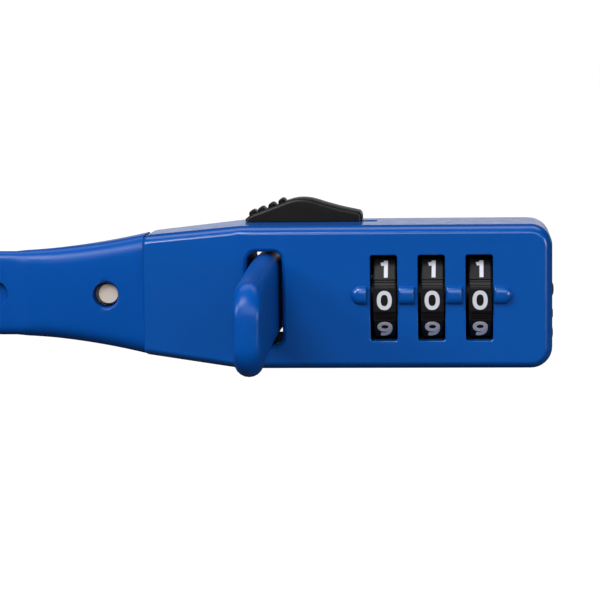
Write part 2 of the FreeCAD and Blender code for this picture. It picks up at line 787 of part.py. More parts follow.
def make_reset_spring():
    """The coil behind the reset button's collar, as the closed outer shape of its coils."""
    centre = ("-reset_depth", "0")
    start = f"({dial_x(3)} + plate_offset + plate_thick / 2 + 0.05)"
    end = f"({RIGHT} - wall - 0.85)"
    coils = rod("reset_spring_coils", "X", (start, end), centre, "reset_radius + 0.5")
    clear = rod("reset_spring_clear", "X", around(end, "20"), centre, "reset_radius + 0.1")
    return cut("reset_spring", coils, clear)


# What holds the strap's root


def make_anchor_block():
    """The steel block inside the head's left end, slotted for the strap's core."""
    xs = (f"{LEFT} + wall + 0.05", f"{LEFT} + wall + 3.5")
    block = box("anchor_blank", xs, ("-strap_depth - 2.6", "-cover_thick - 0.05"), around("0", "9.6"))
    slit = box(
        "anchor_slit",
        (f"{LEFT}", f"{LEFT} + wall + 3"),
        around("-strap_depth", "core_thick"),
        around("0", "core_width"),
    )
    pins = [
        rod(f"anchor_bore_{at}", "Y", around("-strap_depth", "30"), (ANCHOR_X, z), "pin_radius")
        for at, z in enumerate(ANCHOR_ZS, start=1)
    ]
    return cut("anchor_block", block, slit, *pins)


def make_anchor_pins():
    """The two rivets through the cover, the block and the strap's core."""
    ends = ("-strap_depth - 2.6", "-0.15")
    pins = [
        rod(f"anchor_pin_{at}", "Y", ends, (ANCHOR_X, z), "pin_radius")
        for at, z in enumerate(ANCHOR_ZS, start=1)
    ]
    return fuse("anchor_pins", *pins)


# The strap. It leaves the head leftwards, turns through the side arc and the return arc behind the
# head, and comes forwards through the slot. It is cut into links where it bends.


class Strap:
    """The strap's sizes read from the sheet, and the centres of its two arcs."""

    width = number("strap_width")
    thick = number("strap_thick")
    core_width = number("core_width")
    core_thick = number("core_thick")
    root_y = number("-strap_depth")
    root_x = number(LEFT)
    slot_x = number(SLOT_X)
    front = number(FRONT)
    tip_y = number(f"{FRONT} - tail_reach")
    side_radius = number("side_radius")
    arc_x = root_x - number("root_straight")
    side_centre = FreeCAD.Vector(arc_x, root_y + side_radius, 0)
    return_radius = (slot_x - arc_x + side_radius) / 2
    return_centre = FreeCAD.Vector(slot_x - return_radius, root_y + side_radius, 0)
    tall = 4 * width


def on_side_arc(degrees, radius=Strap.side_radius):
    """A point of the side arc, from where the straight root ends."""
    angle = math.radians(-90 - degrees)
    return Strap.side_centre + FreeCAD.Vector(math.cos(angle), math.sin(angle), 0) * radius


def on_return_arc(degrees, radius=Strap.return_radius):
    """A point of the return arc, from where the side arc ends."""
    angle = math.radians(180 - degrees)
    return Strap.return_centre + FreeCAD.Vector(math.cos(angle), math.sin(angle), 0) * radius


def upright(face):
    """A tall prism on a face of the XY plane, half above it and half below."""
    face.translate(Z_AXIS * (-Strap.tall / 2))
    return face.extrude(Z_AXIS * Strap.tall)


def arc_band(on_arc, radius, start, stop, thick):
    """The strap's plan between two angles of an arc, as a tall prism."""
    middle = (start + stop) / 2
    outer = Part.Arc(*[on_arc(angle, radius + thick / 2) for angle in (start, middle, stop)])
    inner = Part.Arc(*[on_arc(angle, radius - thick / 2) for angle in (stop, middle, start)])
    first = Part.LineSegment(inner.EndPoint, outer.StartPoint)
    last = Part.LineSegment(outer.EndPoint, inner.StartPoint)
    wire = Part.Wire([edge.toShape() for edge in (first, outer, last, inner)])
    return upright(Part.Face(wire))


def straight_band(low, high):
    """A rectangle of the plan between two corners, as a tall prism."""
    corners = [low, (high[0], low[1]), high, (low[0], high[1]), low]
    wire = Part.makePolygon([FreeCAD.Vector(x, y, 0) for x, y in corners])
    return upright(Part.Face(wire))


def side_profile(width, short=0.0):
    """The strap's height seen from the side: level through the head, dropping behind it."""
    half = width / 2
    far = Strap.side_centre.y + Strap.return_radius + 5
    drop = number("loop_drop")
    sag = number("tail_sag")
    tip = Strap.tip_y + short
    round_by = min(number("tip_round"), half - 0.5)
    level = number("loop_level")
    slant = sag / (Strap.tip_y - Strap.front)

    def at(y, side):
        if y > level:
            return FreeCAD.Vector(0, y, side * half - drop * (y - level) / (far - level))
        if y < Strap.front:
            return FreeCAD.Vector(0, y, side * half - slant * (y - Strap.front))
        return FreeCAD.Vector(0, y, side * half)

    upper = [at(y, 1) for y in (far, level, Strap.front, tip + round_by)]
    lower = [at(y, -1) for y in (tip + round_by, Strap.front, level, far)]
    upper_face = FreeCAD.Vector(0, tip, upper[-1].z - round_by)
    lower_face = FreeCAD.Vector(0, tip, lower[0].z + round_by)
    turn = round_by * (1 - math.sqrt(0.5))
    upper_middle = FreeCAD.Vector(0, tip + turn, upper[-1].z - turn)
    lower_middle = FreeCAD.Vector(0, tip + turn, lower[0].z + turn)
    edges = [Part.LineSegment(a, b).toShape() for a, b in zip(upper, upper[1:])]
    edges.append(Part.Arc(upper[-1], upper_middle, upper_face).toShape())
    edges.append(Part.LineSegment(upper_face, lower_face).toShape())
    edges.append(Part.Arc(lower_face, lower_middle, lower[0]).toShape())
    edges += [Part.LineSegment(a, b).toShape() for a, b in zip(lower, lower[1:])]
    edges.append(Part.LineSegment(lower[-1], upper[0]).toShape())
    face = Part.Face(Part.Wire(edges))
    face.translate(X_AXIS * -200)
    return face.extrude(X_AXIS * 250)


COVER_PROFILE = side_profile(Strap.width)
CORE_PROFILE = side_profile(Strap.core_width, short=3.0)


def knuckle(point, radius):
    """A tall round post at a bend."""
    return Part.makeCylinder(radius, Strap.tall, point - Z_AXIS * (Strap.tall / 2), Z_AXIS)


def peephole(point, outward):
    """The round hole through the cover's outer face that shows the core."""
    radius = number("hole_radius")
    start = point + outward * (Strap.core_thick / 2)
    return Part.makeCylinder(radius, Strap.thick, start, outward)


def drop_at(y):
    """How far the strap's middle has dropped at a depth behind the head."""
    level = number("loop_level")
    far = Strap.side_centre.y + Strap.return_radius + 5
    return number("loop_drop") * max(0.0, y - level) / (far - level)


def arc_holes(on_arc, centre, radius, start, stop):
    """The holes along an arc between two angles, evenly spaced near the hole pitch."""
    length = math.radians(stop - start) * radius
    count = max(1, round(length / number("hole_pitch")))
    holes = []
    for at in range(count):
        angle = start + (at + 0.5) * (stop - start) / count
        point = on_arc(angle)
        outward = (point - centre).normalize()
        holes.append(peephole(point - Z_AXIS * drop_at(point.y), outward))
    return holes


def add_shape(name, shape):
    """A document object with a shape made by Part's own functions."""
    feature = doc.addObject("Part::Feature", name)
    feature.Shape = shape
    return feature


def strap_links():
    """Each link between two bends: its number, its arc's function, centre and radius, and its angles."""
    side = (on_side_arc, Strap.side_centre, Strap.side_radius)
    back = (on_return_arc, Strap.return_centre, Strap.return_radius)
    links = [(*side, start, stop) for start, stop in zip(SIDE_BENDS, SIDE_BENDS[1:])]
    links += [(*back, start, stop) for start, stop in zip((0,) + RETURN_BENDS, RETURN_BENDS)]
    return list(enumerate(links, start=1))


def make_strap_links():
    """The cover and the core of each link behind the head, with round ends that meet at the bends."""
    pieces = []
    half = Strap.thick / 2
    gap = number("fit_gap")
    for at, (on_arc, centre, radius, start, stop) in strap_links():
        inset = math.degrees((Strap.thick * 0.7) / radius)
        core = arc_band(on_arc, radius, start + inset, stop - inset, Strap.core_thick)
        core = core.common(CORE_PROFILE)
        cover = arc_band(on_arc, radius, start, stop, Strap.thick)
        cover = cover.fuse(knuckle(on_arc(stop), half)).cut(knuckle(on_arc(start), half + gap))
        cover = cover.common(COVER_PROFILE).cut(core)
        for hole in arc_holes(on_arc, centre, radius, start + inset, stop - inset):
            cover = cover.cut(hole)
        pieces.append(add_shape(f"strap_cover_{at}", cover.removeSplitter()))
        pieces.append(add_shape(f"strap_core_{at}", core))
    return pieces


def root_flare(width, thick, widest, thickest):
    """The root's flare: a prism of the side view met by a prism of the plan."""
    length = number("flare_length")
    start = Strap.root_x
    end = start - length
    rise = (widest - width) / 2
    arc_radius = (length**2 + rise**2) / (2 * rise)
    turn = math.asin(length / arc_radius) / 2

    def edge_z(side):
        middle_x = end + arc_radius * math.sin(turn)
        middle_z = width / 2 + arc_radius * (1 - math.cos(turn))
        return [
            FreeCAD.Vector(start, 0, side * widest / 2),
            FreeCAD.Vector(middle_x, 0, side * middle_z),
            FreeCAD.Vector(end, 0, side * width / 2),
        ]

    top, bottom = edge_z(1), edge_z(-1)
    edges = [
        Part.Arc(*top).toShape(),
        Part.LineSegment(top[2], bottom[2]).toShape(),
        Part.Arc(*bottom).toShape(),
        Part.LineSegment(bottom[0], top[0]).toShape(),
    ]
    front_view = Part.Face(Part.Wire(Part.sortEdges(edges)[0]))
    front_view.translate(Y_AXIS * -30)
    corners = [(start, thickest / 2), (end, thick / 2), (end, -thick / 2), (start, -thickest / 2)]
    points = [FreeCAD.Vector(x, Strap.root_y + y, 0) for x, y in corners]
    plan = Part.Face(Part.makePolygon(points + points[:1]))
    return front_view.extrude(Y_AXIS * 60).common(upright(plan))


def make_strap_root():
    """The strap's root, fixed in the head: the flared cover and the core that runs into the anchor."""
    half = Strap.thick / 2
    core_half = Strap.core_thick / 2
    first_bend = SIDE_BENDS[0]
    inset = math.degrees((Strap.thick * 0.7) / Strap.side_radius)
    core_in = Strap.root_x + number("wall + 3")
    low, high = (Strap.arc_x, Strap.root_y - core_half), (core_in, Strap.root_y + core_half)
    core_arc = arc_band(on_side_arc, Strap.side_radius, 0, first_bend - inset, Strap.core_thick)
    core = straight_band(low, high).fuse(core_arc).common(CORE_PROFILE)
    for z in ANCHOR_ZS:
        centre = FreeCAD.Vector(number(ANCHOR_X), -30, number(z))
        core = core.cut(Part.makeCylinder(number("pin_radius"), 60, centre, Y_AXIS))

    low, high = (Strap.arc_x, Strap.root_y - half), (Strap.root_x, Strap.root_y + half)
    arc = arc_band(on_side_arc, Strap.side_radius, 0, first_bend, Strap.thick)
    band = straight_band(low, high).fuse(arc).fuse(knuckle(on_side_arc(first_bend), half))
    flare = root_flare(Strap.width, Strap.thick, number("root_width"), number("root_thick"))
    cover = band.common(COVER_PROFILE).fuse(flare).cut(core)
    hole = FreeCAD.Vector(Strap.root_x - number("first_hole"), Strap.root_y, 0)
    radius = number("hole_radius")
    for step in (0, 1):
        start = hole - X_AXIS * step * number("hole_pitch") - Y_AXIS * core_half
        cover = cover.cut(Part.makeCylinder(radius, 10, start, -Y_AXIS))
    return [
        add_shape("strap_root_cover", cover.removeSplitter()),
        add_shape("strap_root_core", core.removeSplitter()),
    ]


def strap_teeth():
    """The ratchet teeth along the tail's inner face, as wedges to cut."""
    pitch = number("tooth_pitch")
    depth = number("tooth_depth")
    face_x = Strap.slot_x - Strap.thick / 2
    height = number("pawl_height") + 1
    first = Strap.front - number("tail_reach") + 8
    count = int((Strap.side_centre.y - 20 - first) / pitch)
    wedges = []
    for at in range(count):
        y = first + at * pitch
        top = y + pitch * 0.85
        corners = [(face_x - 1, y), (face_x - 1, top), (face_x, top), (face_x + depth, y)]
        points = [FreeCAD.Vector(x, place, -height / 2) for x, place in corners]
        wedges.append(Part.Face(Part.makePolygon(points + points[:1])).extrude(Z_AXIS * height))
    return wedges


def make_strap_tail():
    """The last link: the straight run through the slot, its teeth and its rounded tip."""
    half = Strap.thick / 2
    core_half = Strap.core_thick / 2
    bend = RETURN_BENDS[-1]
    reach = number("tail_reach")
    curl_radius = reach**2 / (2 * number("tail_sag"))
    curl_centre = FreeCAD.Vector(Strap.slot_x + curl_radius, Strap.front, 0)

    def on_curl(degrees, radius=curl_radius):
        angle = math.radians(180 + degrees)
        return curl_centre + FreeCAD.Vector(math.cos(angle), math.sin(angle), 0) * radius

    def run(thick, start, overrun):
        side = thick / 2
        low = (Strap.slot_x - side, Strap.front)
        high = (Strap.slot_x + side, Strap.side_centre.y)
        arc = arc_band(on_return_arc, Strap.return_radius, start, 180, thick)
        curl = arc_band(on_curl, curl_radius, 0, math.degrees(overrun / curl_radius), thick)
        return straight_band(low, high).fuse(arc).fuse(curl)

    core = run(Strap.core_thick, bend + 2, reach - 2).common(CORE_PROFILE)
    gap = number("fit_gap")
    cover = run(Strap.thick, bend, reach + 1).cut(knuckle(on_return_arc(bend), half + gap))
    cover = cover.common(COVER_PROFILE).cut(core)
    cover = cover.cut(Part.makeCompound(strap_teeth()))
    link = len(strap_links()) + 1
    return [
        add_shape(f"strap_cover_{link}", cover.removeSplitter()),
        add_shape(f"strap_core_{link}", core.removeSplitter()),
    ]


def make_all():
    """Every sub-part, in the order of the list of nodes."""
    subparts = [make_front_case(), make_back_cover(), make_cover_screws()]
    subparts += [make_slot_liner(), make_pawl(), make_pawl_pin(), make_pawl_spring()]
    subparts += [make_thumb_slider(), make_slider_carrier(), make_code_shaft(), make_return_spring()]
    for dial in DIALS:
        subparts += [make_dial_wheel(dial), make_code_sleeve(dial)]
    subparts += [make_dial_cage(), make_detent_spring(), make_reset_button(), make_reset_spring()]
    subparts += [make_anchor_block(), make_anchor_pins()]
    subparts += make_strap_root() + make_strap_links() + make_strap_tail()
    return subparts


def check_and_export(subparts):
    """Stops on any failed object or bad shape, then writes each sub-part."""
    doc.recompute()
    failed = [item.Name for item in doc.Objects if {"Invalid", "Error"} & set(item.State)]
    if failed:
        raise ValueError(f"failed objects: {failed}")
    for part in subparts:
        part.Label = part.Name
        if part.Shape.isNull() or not part.Shape.isValid():
            raise ValueError(f"{part.Label} has a bad shape")
    os.makedirs("parts", exist_ok=True)
    for part in subparts:
        part.Shape.exportStep(f"parts/{part.Label}.step")
        print(part.Label, len(part.Shape.Solids), round(part.Shape.Volume, 1))


check_and_export(make_all())
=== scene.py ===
"""The looks of the strap padlock: refined shells, dials, digits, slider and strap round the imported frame.

Lengths are in millimetres in the frame's axes, and are scaled to metres when a mesh is made.
"""

import math

import bmesh
import bpy
from mathutils import Matrix, Vector


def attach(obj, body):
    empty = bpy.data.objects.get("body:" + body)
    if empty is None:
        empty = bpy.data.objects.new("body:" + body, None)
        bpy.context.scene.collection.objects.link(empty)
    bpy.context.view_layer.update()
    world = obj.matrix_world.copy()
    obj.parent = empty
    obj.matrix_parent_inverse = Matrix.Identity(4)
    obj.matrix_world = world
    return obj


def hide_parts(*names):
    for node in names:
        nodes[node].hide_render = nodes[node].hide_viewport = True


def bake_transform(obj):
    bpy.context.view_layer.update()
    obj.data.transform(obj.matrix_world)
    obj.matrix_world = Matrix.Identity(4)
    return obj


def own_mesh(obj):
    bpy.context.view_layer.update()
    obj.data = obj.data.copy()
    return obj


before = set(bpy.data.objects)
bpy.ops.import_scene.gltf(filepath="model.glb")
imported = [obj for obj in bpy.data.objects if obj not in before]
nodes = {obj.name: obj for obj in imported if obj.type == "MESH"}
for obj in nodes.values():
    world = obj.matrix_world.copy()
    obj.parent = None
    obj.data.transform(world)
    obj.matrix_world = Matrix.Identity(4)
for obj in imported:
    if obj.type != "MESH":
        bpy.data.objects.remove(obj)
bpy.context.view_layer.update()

scene = bpy.context.scene
MM = 0.001

# The head
LEFT, RIGHT = -29.8, 29.8
HALF_TALL, HALF_END = 10.4, 8.8
FRONT, BACK = -16.0, -1.65
FACET_X, FACET_DROP = -15.2, 4.0
CORNER = 3.1
WALL = 1.8
RIM_ROUND, END_ROUND, RIM_DEEPER = 1.25, 0.6, 2.0
SLOT_X = -11.5
SLOT_HALF, SLOT_CORNER, SLOT_LIP = (2.5, 6.75), 1.3, 0.7
WINDOW_XS = (5.66, 12.5, 19.34)
WINDOW_HALF, WINDOW_CORNER, WINDOW_LIP = (1.95, 6.2), 0.35, 0.14
RIDGE_Z, RIDGE_HALF, RIDGE_PROUD = 0.45, 1.325, 0.8
RIDGE_START, RIDGE_STOP, RIDGE_ROUND = 0.95, 24.05, 1.15
DOOR_HALF = (0.7, 4.1)
RESET_Y = -4.6

# The dials
DIAL_XS = (5.81, 12.65, 19.49)
DIAL_Y, DIAL_RADIUS, DIAL_BORE = -9.2, 7.5, 4.4
DIAL_HALF = 1.65
SECTOR = 36.0
PANEL_HALF = 12.6
PANEL_ANGLES = (-12.6, -6.3, 0, 6.3, 12.6)
DIAL_SLACK = -2.0
DIGIT_WIDE, DIGIT_TALL, DIGIT_STROKE, DIGIT_PROUD = 2.15, 2.78, 0.56, 0.06

# The thumb slider
SLIDER_LEFT, SLIDER_RIGHT, SLIDER_FOOT = -15.0, 2.2, 10.5
SLIDER_FRONT, SLIDER_BACK, SLIDER_ROUND = -7.75, -2.6, 0.5

# The strap
STRAP_Y = -6.5
STRAP_WIDTH, STRAP_THICK = 12.5, 3.4
ROOT_WIDTH, ROOT_THICK, FLARE = 17.6, 9.8, 24.0
ARC_X, ARC_Y = -48.0, 68.5
SIDE_RADIUS, RETURN_RADIUS = 75.0, 55.75
RETURN_X = SLOT_X - RETURN_RADIUS
TAIL_REACH = 32.0
TAIL_CURL, TAIL_SAG = 0.6, 1.0
TIP_ROUND, TIP_LIP = 4.5, 1.3
SIDE_BENDS = (10, 50, 90)
RETURN_BENDS = (45, 90, 135, 175)
SIDE_CUTS = (30, 70)
RETURN_CUTS = (22.5, 67.5, 112.5, 155)
STATION_GAP = 1.6
LONG_SIDE_CUTS = 8
DROP_SLOPE, DROP_START, DROP_SOFT = 14.0 / 123.5, 6.0, 5.0
HOLE_RADIUS, HOLE_INSET, HOLE_PITCH = 1.9, 5.8, 17.0
TOOTH_COUNT, TOOTH_PITCH, TOOTH_LONG, TOOTH_DEEP, TOOTH_HALF = 44, 2.0, 1.7, 0.7, 4.0


# Mesh helpers


def add_object(name, mesh, material, sharp=35):
    """An object for a mesh, smooth except across edges sharper than an angle."""
    obj = bpy.data.objects.new(name, mesh)
    scene.collection.objects.link(obj)
    if material is not None:
        mesh.materials.clear()
        mesh.materials.append(material)
    mesh.shade_smooth()
    mesh.set_sharp_from_angle(angle=math.radians(sharp))
    return obj


def make_mesh(name, points, faces):
    """A mesh from points in millimetres, with its normals facing out."""
    mesh = bpy.data.meshes.new(name)
    mesh.from_pydata([Vector(point) * MM for point in points], [], faces)
    tidy = bmesh.new()
    tidy.from_mesh(mesh)
    bmesh.ops.remove_doubles(tidy, verts=tidy.verts, dist=1e-7)
    bmesh.ops.recalc_face_normals(tidy, faces=tidy.faces)
    tidy.to_mesh(mesh)
    tidy.free()
    return mesh


def stack_faces(count, rings):
    """The quads between neighbouring rings of the same number of points."""
    faces = []
    for ring in range(rings - 1):
        low = ring * count
        for at in range(count):
            after = (at + 1) % count
            faces.append((low + at, low + after, low + count + after, low + count + at))
    return faces


def strip_cap(count, first):
    """Strips across a ring whose second half mirrors its first half."""
    half = count // 2
    return [
        (first + at, first + at + 1, first + count - 2 - at, first + count - 1 - at)
        for at in range(half - 1)
    ]


def stack(name, rings, material, cap="strips", sharp=35):
    """A closed solid through rings of points, capped by strips or by one polygon at each end."""
    count = len(rings[0])
    points = [point for ring in rings for point in ring]
    faces = stack_faces(count, len(rings))
    last = (len(rings) - 1) * count
    if cap == "strips":
        faces += strip_cap(count, 0) + strip_cap(count, last)
    else:
        faces += [tuple(range(count)), tuple(range(last, last + count))]
    return add_object(name, make_mesh(name, points, faces), material, sharp)


def apply_modifiers(obj):
    """Replaces an object's mesh with the mesh its modifiers give."""
    evaluated = obj.evaluated_get(bpy.context.evaluated_depsgraph_get())
    mesh = bpy.data.meshes.new_from_object(evaluated)
    obj.modifiers.clear()
    obj.data = mesh


def carve(obj, cutters, operation="DIFFERENCE", sharp=35):
    """Cuts each cutter out of obj, or joins it on, and removes the cutter."""
    for cutter in cutters:
        cutter.data.materials.clear()
        modifier = obj.modifiers.new("cut", "BOOLEAN")
        modifier.operation = operation
        modifier.solver = "EXACT"
        modifier.object = cutter
        bpy.context.view_layer.update()
        apply_modifiers(obj)
        bpy.data.objects.remove(cutter)
    obj.data.shade_smooth()
    obj.data.set_sharp_from_angle(angle=math.radians(sharp))
    return obj


def rounded_rectangle(half_x, half_z, radius, steps=5):
    """The corners of a rounded rectangle as (x, z) points, anticlockwise from the right."""
    points = []
    corners = ((1, 1, 0), (-1, 1, 90), (-1, -1, 180), (1, -1, 270))
    for sign_x, sign_z, start in corners:
        for step in range(steps + 1):
            angle = math.radians(start + 90 * step / steps)
            x = sign_x * (half_x - radius) + radius * math.cos(angle)
            points.append((x, sign_z * (half_z - radius) + radius * math.sin(angle)))
    return points


def smooth_line(points, steps=6):
    """A smooth curve through points of any length."""
    points = [Vector(point) for point in points]
    line = []
    for at in range(len(points) - 1):
        before = points[max(at - 1, 0)]
        a, b = points[at], points[at + 1]
        after = points[min(at + 2, len(points) - 1)]
        for step in range(steps):
            t = step / steps
            line.append(
                0.5
                * (2 * a + (b - before) * t + (2 * before - 5 * a + 4 * b - after) * t * t)
                + 0.5 * (3 * a - before - 3 * b + after) * t**3
            )
    line.append(points[-1])
    return line


def block(name, low, high):
    """A box between two corners, for cutting with."""
    corners = [(x, y, z) for x in (low[0], high[0]) for y in (low[1], high[1]) for z in (low[2], high[2])]
    faces = [(0, 1, 3, 2), (4, 6, 7, 5), (0, 4, 5, 1), (2, 3, 7, 6), (0, 2, 6, 4), (1, 5, 7, 3)]
    return add_object(name, make_mesh(name, corners, faces), None)


def lathe(name, centre, axis, profile, material, steps=40, sharp=35):
    """A solid of revolution: profile is (place along the axis, radius) pairs, ends closed."""
    axis = Vector(axis).normalized()
    side = axis.orthogonal().normalized()
    other = axis.cross(side)
    rings = []
    for along, radius in profile:
        ring = []
        for step in range(steps):
            angle = 2 * math.pi * step / steps
            spoke = side * math.cos(angle) + other * math.sin(angle)
            ring.append(Vector(centre) + axis * along + spoke * radius)
        rings.append(ring)
    return stack(name, rings, material, cap="polygon", sharp=sharp)


def coil(name, centre, axis, length, radius, wire, turns, material):
    """A helical spring of round wire."""
    axis = Vector(axis).normalized()
    side = axis.orthogonal().normalized()
    other = axis.cross(side)
    steps = int(turns * 24)
    rings = []
    for step in range(steps + 1):
        angle = 2 * math.pi * turns * step / steps
        spoke = side * math.cos(angle) + other * math.sin(angle)
        middle = Vector(centre) + axis * (wire + (length - 2 * wire) * step / steps) + spoke * radius
        ring = []
        for around in range(10):
            turn = 2 * math.pi * around / 10
            ring.append(middle + (spoke * math.cos(turn) + axis * math.sin(turn)) * wire)
        rings.append(ring)
    return stack(name, rings, material, cap="polygon")


# Materials


def new_material(name, colour, roughness, metallic=0.0):
    """A material with its shader, and a place to add nodes to."""
    material = bpy.data.materials.new(name)
    material.use_nodes = True
    shader = material.node_tree.nodes["Principled BSDF"]
    shader.inputs["Base Color"].default_value = (*colour, 1)
    shader.inputs["Roughness"].default_value = roughness
    shader.inputs["Metallic"].default_value = metallic
    return material, shader


def object_noise(tree, scale, detail=3.0, stretch=(1, 1, 1)):
    """Noise in object space; scale is in features a metre."""
    place = tree.nodes.new("ShaderNodeTexCoord")
    mapping = tree.nodes.new("ShaderNodeMapping")
    mapping.inputs["Scale"].default_value = stretch
    noise = tree.nodes.new("ShaderNodeTexNoise")
    noise.inputs["Scale"].default_value = scale
    noise.inputs["Detail"].default_value = detail
    tree.links.new(place.outputs["Object"], mapping.inputs["Vector"])
    tree.links.new(mapping.outputs["Vector"], noise.inputs["Vector"])
    return noise


def remap(tree, source, low, high):
    """A value from 0 to 1 carried to a range."""
    ranged = tree.nodes.new("ShaderNodeMapRange")
    ranged.inputs["To Min"].default_value = low
    ranged.inputs["To Max"].default_value = high
    tree.links.new(source, ranged.inputs["Value"])
    return ranged.outputs["Result"]


def mix_colour(tree, factor, first, second):
    """A mix of two colours by a factor socket."""
    mix = tree.nodes.new("ShaderNodeMix")
    mix.data_type = "RGBA"
    mix.inputs[6].default_value = (*first, 1)
    mix.inputs[7].default_value = (*second, 1)
    tree.links.new(factor, mix.inputs[0])
    return mix.outputs[2]


def add_bump(tree, shader, height, strength, distance):
    """A bump from a height socket."""
    bump = tree.nodes.new("ShaderNodeBump")
    bump.inputs["Strength"].default_value = strength
    bump.inputs["Distance"].default_value = distance
    tree.links.new(height, bump.inputs["Height"])
    tree.links.new(bump.outputs["Normal"], shader.inputs["Normal"])


def moulded_plastic(name, colour, lighter, roughness, grain=4200, strength=0.04, shine=0.2):
    """Moulded plastic: a fine spark grain, cloudy colour and uneven gloss."""
    material, shader = new_material(name, colour, roughness)
    tree = material.node_tree
    cloud = object_noise(tree, 160)
    tree.links.new(mix_colour(tree, cloud.outputs["Fac"], colour, lighter), shader.inputs["Base Color"])
    gloss = object_noise(tree, 700)
    ranged = remap(tree, gloss.outputs["Fac"], roughness - 0.05, roughness + 0.06)
    tree.links.new(ranged, shader.inputs["Roughness"])
    spark = object_noise(tree, grain, detail=2)
    add_bump(tree, shader, spark.outputs["Fac"], strength, 0.00004)
    shader.inputs["Specular IOR Level"].default_value = shine
    return material


def brushed_metal(name, colour, darker, roughness, stretch, metallic=1.0):
    """Metal with fine scratches along one way."""
    material, shader = new_material(name, colour, roughness, metallic)
    tree = material.node_tree
    scratch = object_noise(tree, 2600, detail=4, stretch=stretch)
    tree.links.new(mix_colour(tree, scratch.outputs["Fac"], darker, colour), shader.inputs["Base Color"])
    ranged = remap(tree, scratch.outputs["Fac"], roughness - 0.08, roughness + 0.12)
    tree.links.new(ranged, shader.inputs["Roughness"])
    add_bump(tree, shader, scratch.outputs["Fac"], 0.15, 0.00003)
    return material


CASE_BLUE = moulded_plastic("case_blue", (0.0, 0.057, 0.275), (0.0, 0.062, 0.29), 0.21, shine=0.45)
STRAP_BLUE = moulded_plastic(
    "strap_blue", (0.0, 0.054, 0.275), (0.0, 0.061, 0.295), 0.3, grain=2600, shine=0.2
)
BLACK = moulded_plastic("black_plastic", (0.0022, 0.0022, 0.0024), (0.0042, 0.004, 0.0042), 0.36)
DIAL_BLACK = moulded_plastic("dial_black", (0.0055, 0.005, 0.0065), (0.010, 0.0085, 0.009), 0.33, grain=3000)
DIGIT_PAINT = moulded_plastic("digit_paint", (0.46, 0.47, 0.53), (0.52, 0.53, 0.58), 0.55, grain=5000)
STEEL = brushed_metal("steel", (0.62, 0.62, 0.63), (0.42, 0.42, 0.43), 0.3, (1, 1, 8))
CORE_STEEL = brushed_metal("core_steel", (0.62, 0.54, 0.47), (0.46, 0.40, 0.35), 0.5, (8, 8, 1), 0.15)
# Steel darkened to paint the shade in the strap slot and behind the dial windows.
PAINTED_SHADE_STEEL = brushed_metal("painted_shade_steel", (0.05, 0.05, 0.055), (0.03, 0.03, 0.03), 0.4, (1, 1, 8), 0.6)
SPRING_STEEL = brushed_metal("spring_steel", (0.5, 0.5, 0.52), (0.3, 0.3, 0.32), 0.35, (1, 6, 6))
BRASS = brushed_metal("brass", (0.68, 0.46, 0.16), (0.5, 0.32, 0.1), 0.33, (8, 1, 1))


# The case


def facet_front(x):
    """The depth of the front face at a place along the head, with a softened crease."""
    slope = FACET_DROP / (FACET_X - LEFT)
    soft = 0.7
    behind = FACET_X - x
    if behind > soft:
        return FRONT + slope * behind
    if behind < -soft:
        return FRONT
    return FRONT + slope * (behind + soft) ** 2 / (4 * soft)


def half_outline(top_in, left_in):
    """The upper half of the head's outline, drawn in: (x, z, share of the full rounding) points."""
    rise = (HALF_TALL - HALF_END) / (FACET_X - LEFT)
    stretch = math.hypot(1, rise)
    left = LEFT + left_in

    def taper_z(x):
        return HALF_END + (x - LEFT) * rise - top_in * stretch

    corner_z = taper_z(left)
    turn = 0.9 * max(1.0 - left_in, 0.3)
    before = (left, corner_z - turn)
    after = (left + turn / stretch, corner_z + turn * rise / stretch)
    points = []
    for step in range(5):
        t = step / 4
        x = (1 - t) ** 2 * before[0] + 2 * t * (1 - t) * left + t * t * after[0]
        z = (1 - t) ** 2 * before[1] + 2 * t * (1 - t) * corner_z + t * t * after[1]
        points.append((x, z, t))
    for x in (-27.5, -24.5, -21.5, -18.5, -16.0):
        points.append((x, taper_z(x), 1))
    bend = LEFT + (HALF_TALL - HALF_END + top_in * (stretch - 1)) / rise
    for offset in (-0.55, -0.3, 0, 0.3, 0.55):
        x = bend + offset
        points.append((x, min(taper_z(x), HALF_TALL - top_in), 1))
    for x in (-13.5, -8, -2, 4, 10, 16, 22):
        points.append((x, HALF_TALL - top_in, 1))
    middle = (RIGHT - CORNER, HALF_TALL - CORNER)
    radius = CORNER - top_in
    for step in range(10):
        angle = math.radians(90 - 10 * step)
        points.append((middle[0] + radius * math.cos(angle), middle[1] + radius * math.sin(angle), 1))
    return points


def head_ring(top_in, left_in, depth_at):
    """The head's whole outline as a ring of points, each at a depth given by its place and rounding."""
    upper = half_outline(top_in, left_in)
    ring = [(x, depth_at(x, share), z) for x, z, share in upper]
    return ring + [(x, y, -z) for x, y, z in reversed(ring)]


def rounded_front_ring(angle):
    """The ring at an angle round the front rim: 0 on the side wall and 90 on the front face."""
    turn = math.radians(angle)
    inward, forward = 1 - math.cos(turn), 1 - math.sin(turn)

    def depth(x, share):
        radius = END_ROUND + (RIM_ROUND * RIM_DEEPER - END_ROUND) * share
        return facet_front(x) + radius * forward

    return head_ring(RIM_ROUND * inward, END_ROUND * inward, depth)


def case_blank():
    """The case's outer solid: rounded front rim, facet and a fine chamfer at the back."""
    rings = [rounded_front_ring(angle) for angle in (90, 78, 66, 54, 42, 30, 18, 8, 0)]
    rings.append(head_ring(0, 0, lambda x, share: BACK - 0.12))
    rings.append(head_ring(0.12, 0.12, lambda x, share: BACK))
    return stack("case_shell", rings, CASE_BLUE)


def case_cavity():
    """The hollow inside the case, open at the back."""
    inner = head_ring(WALL, WALL, lambda x, share: facet_front(x) + WALL)
    outer = head_ring(WALL, WALL, lambda x, share: BACK + 1)
    return stack("case_cavity", [inner, outer], None)


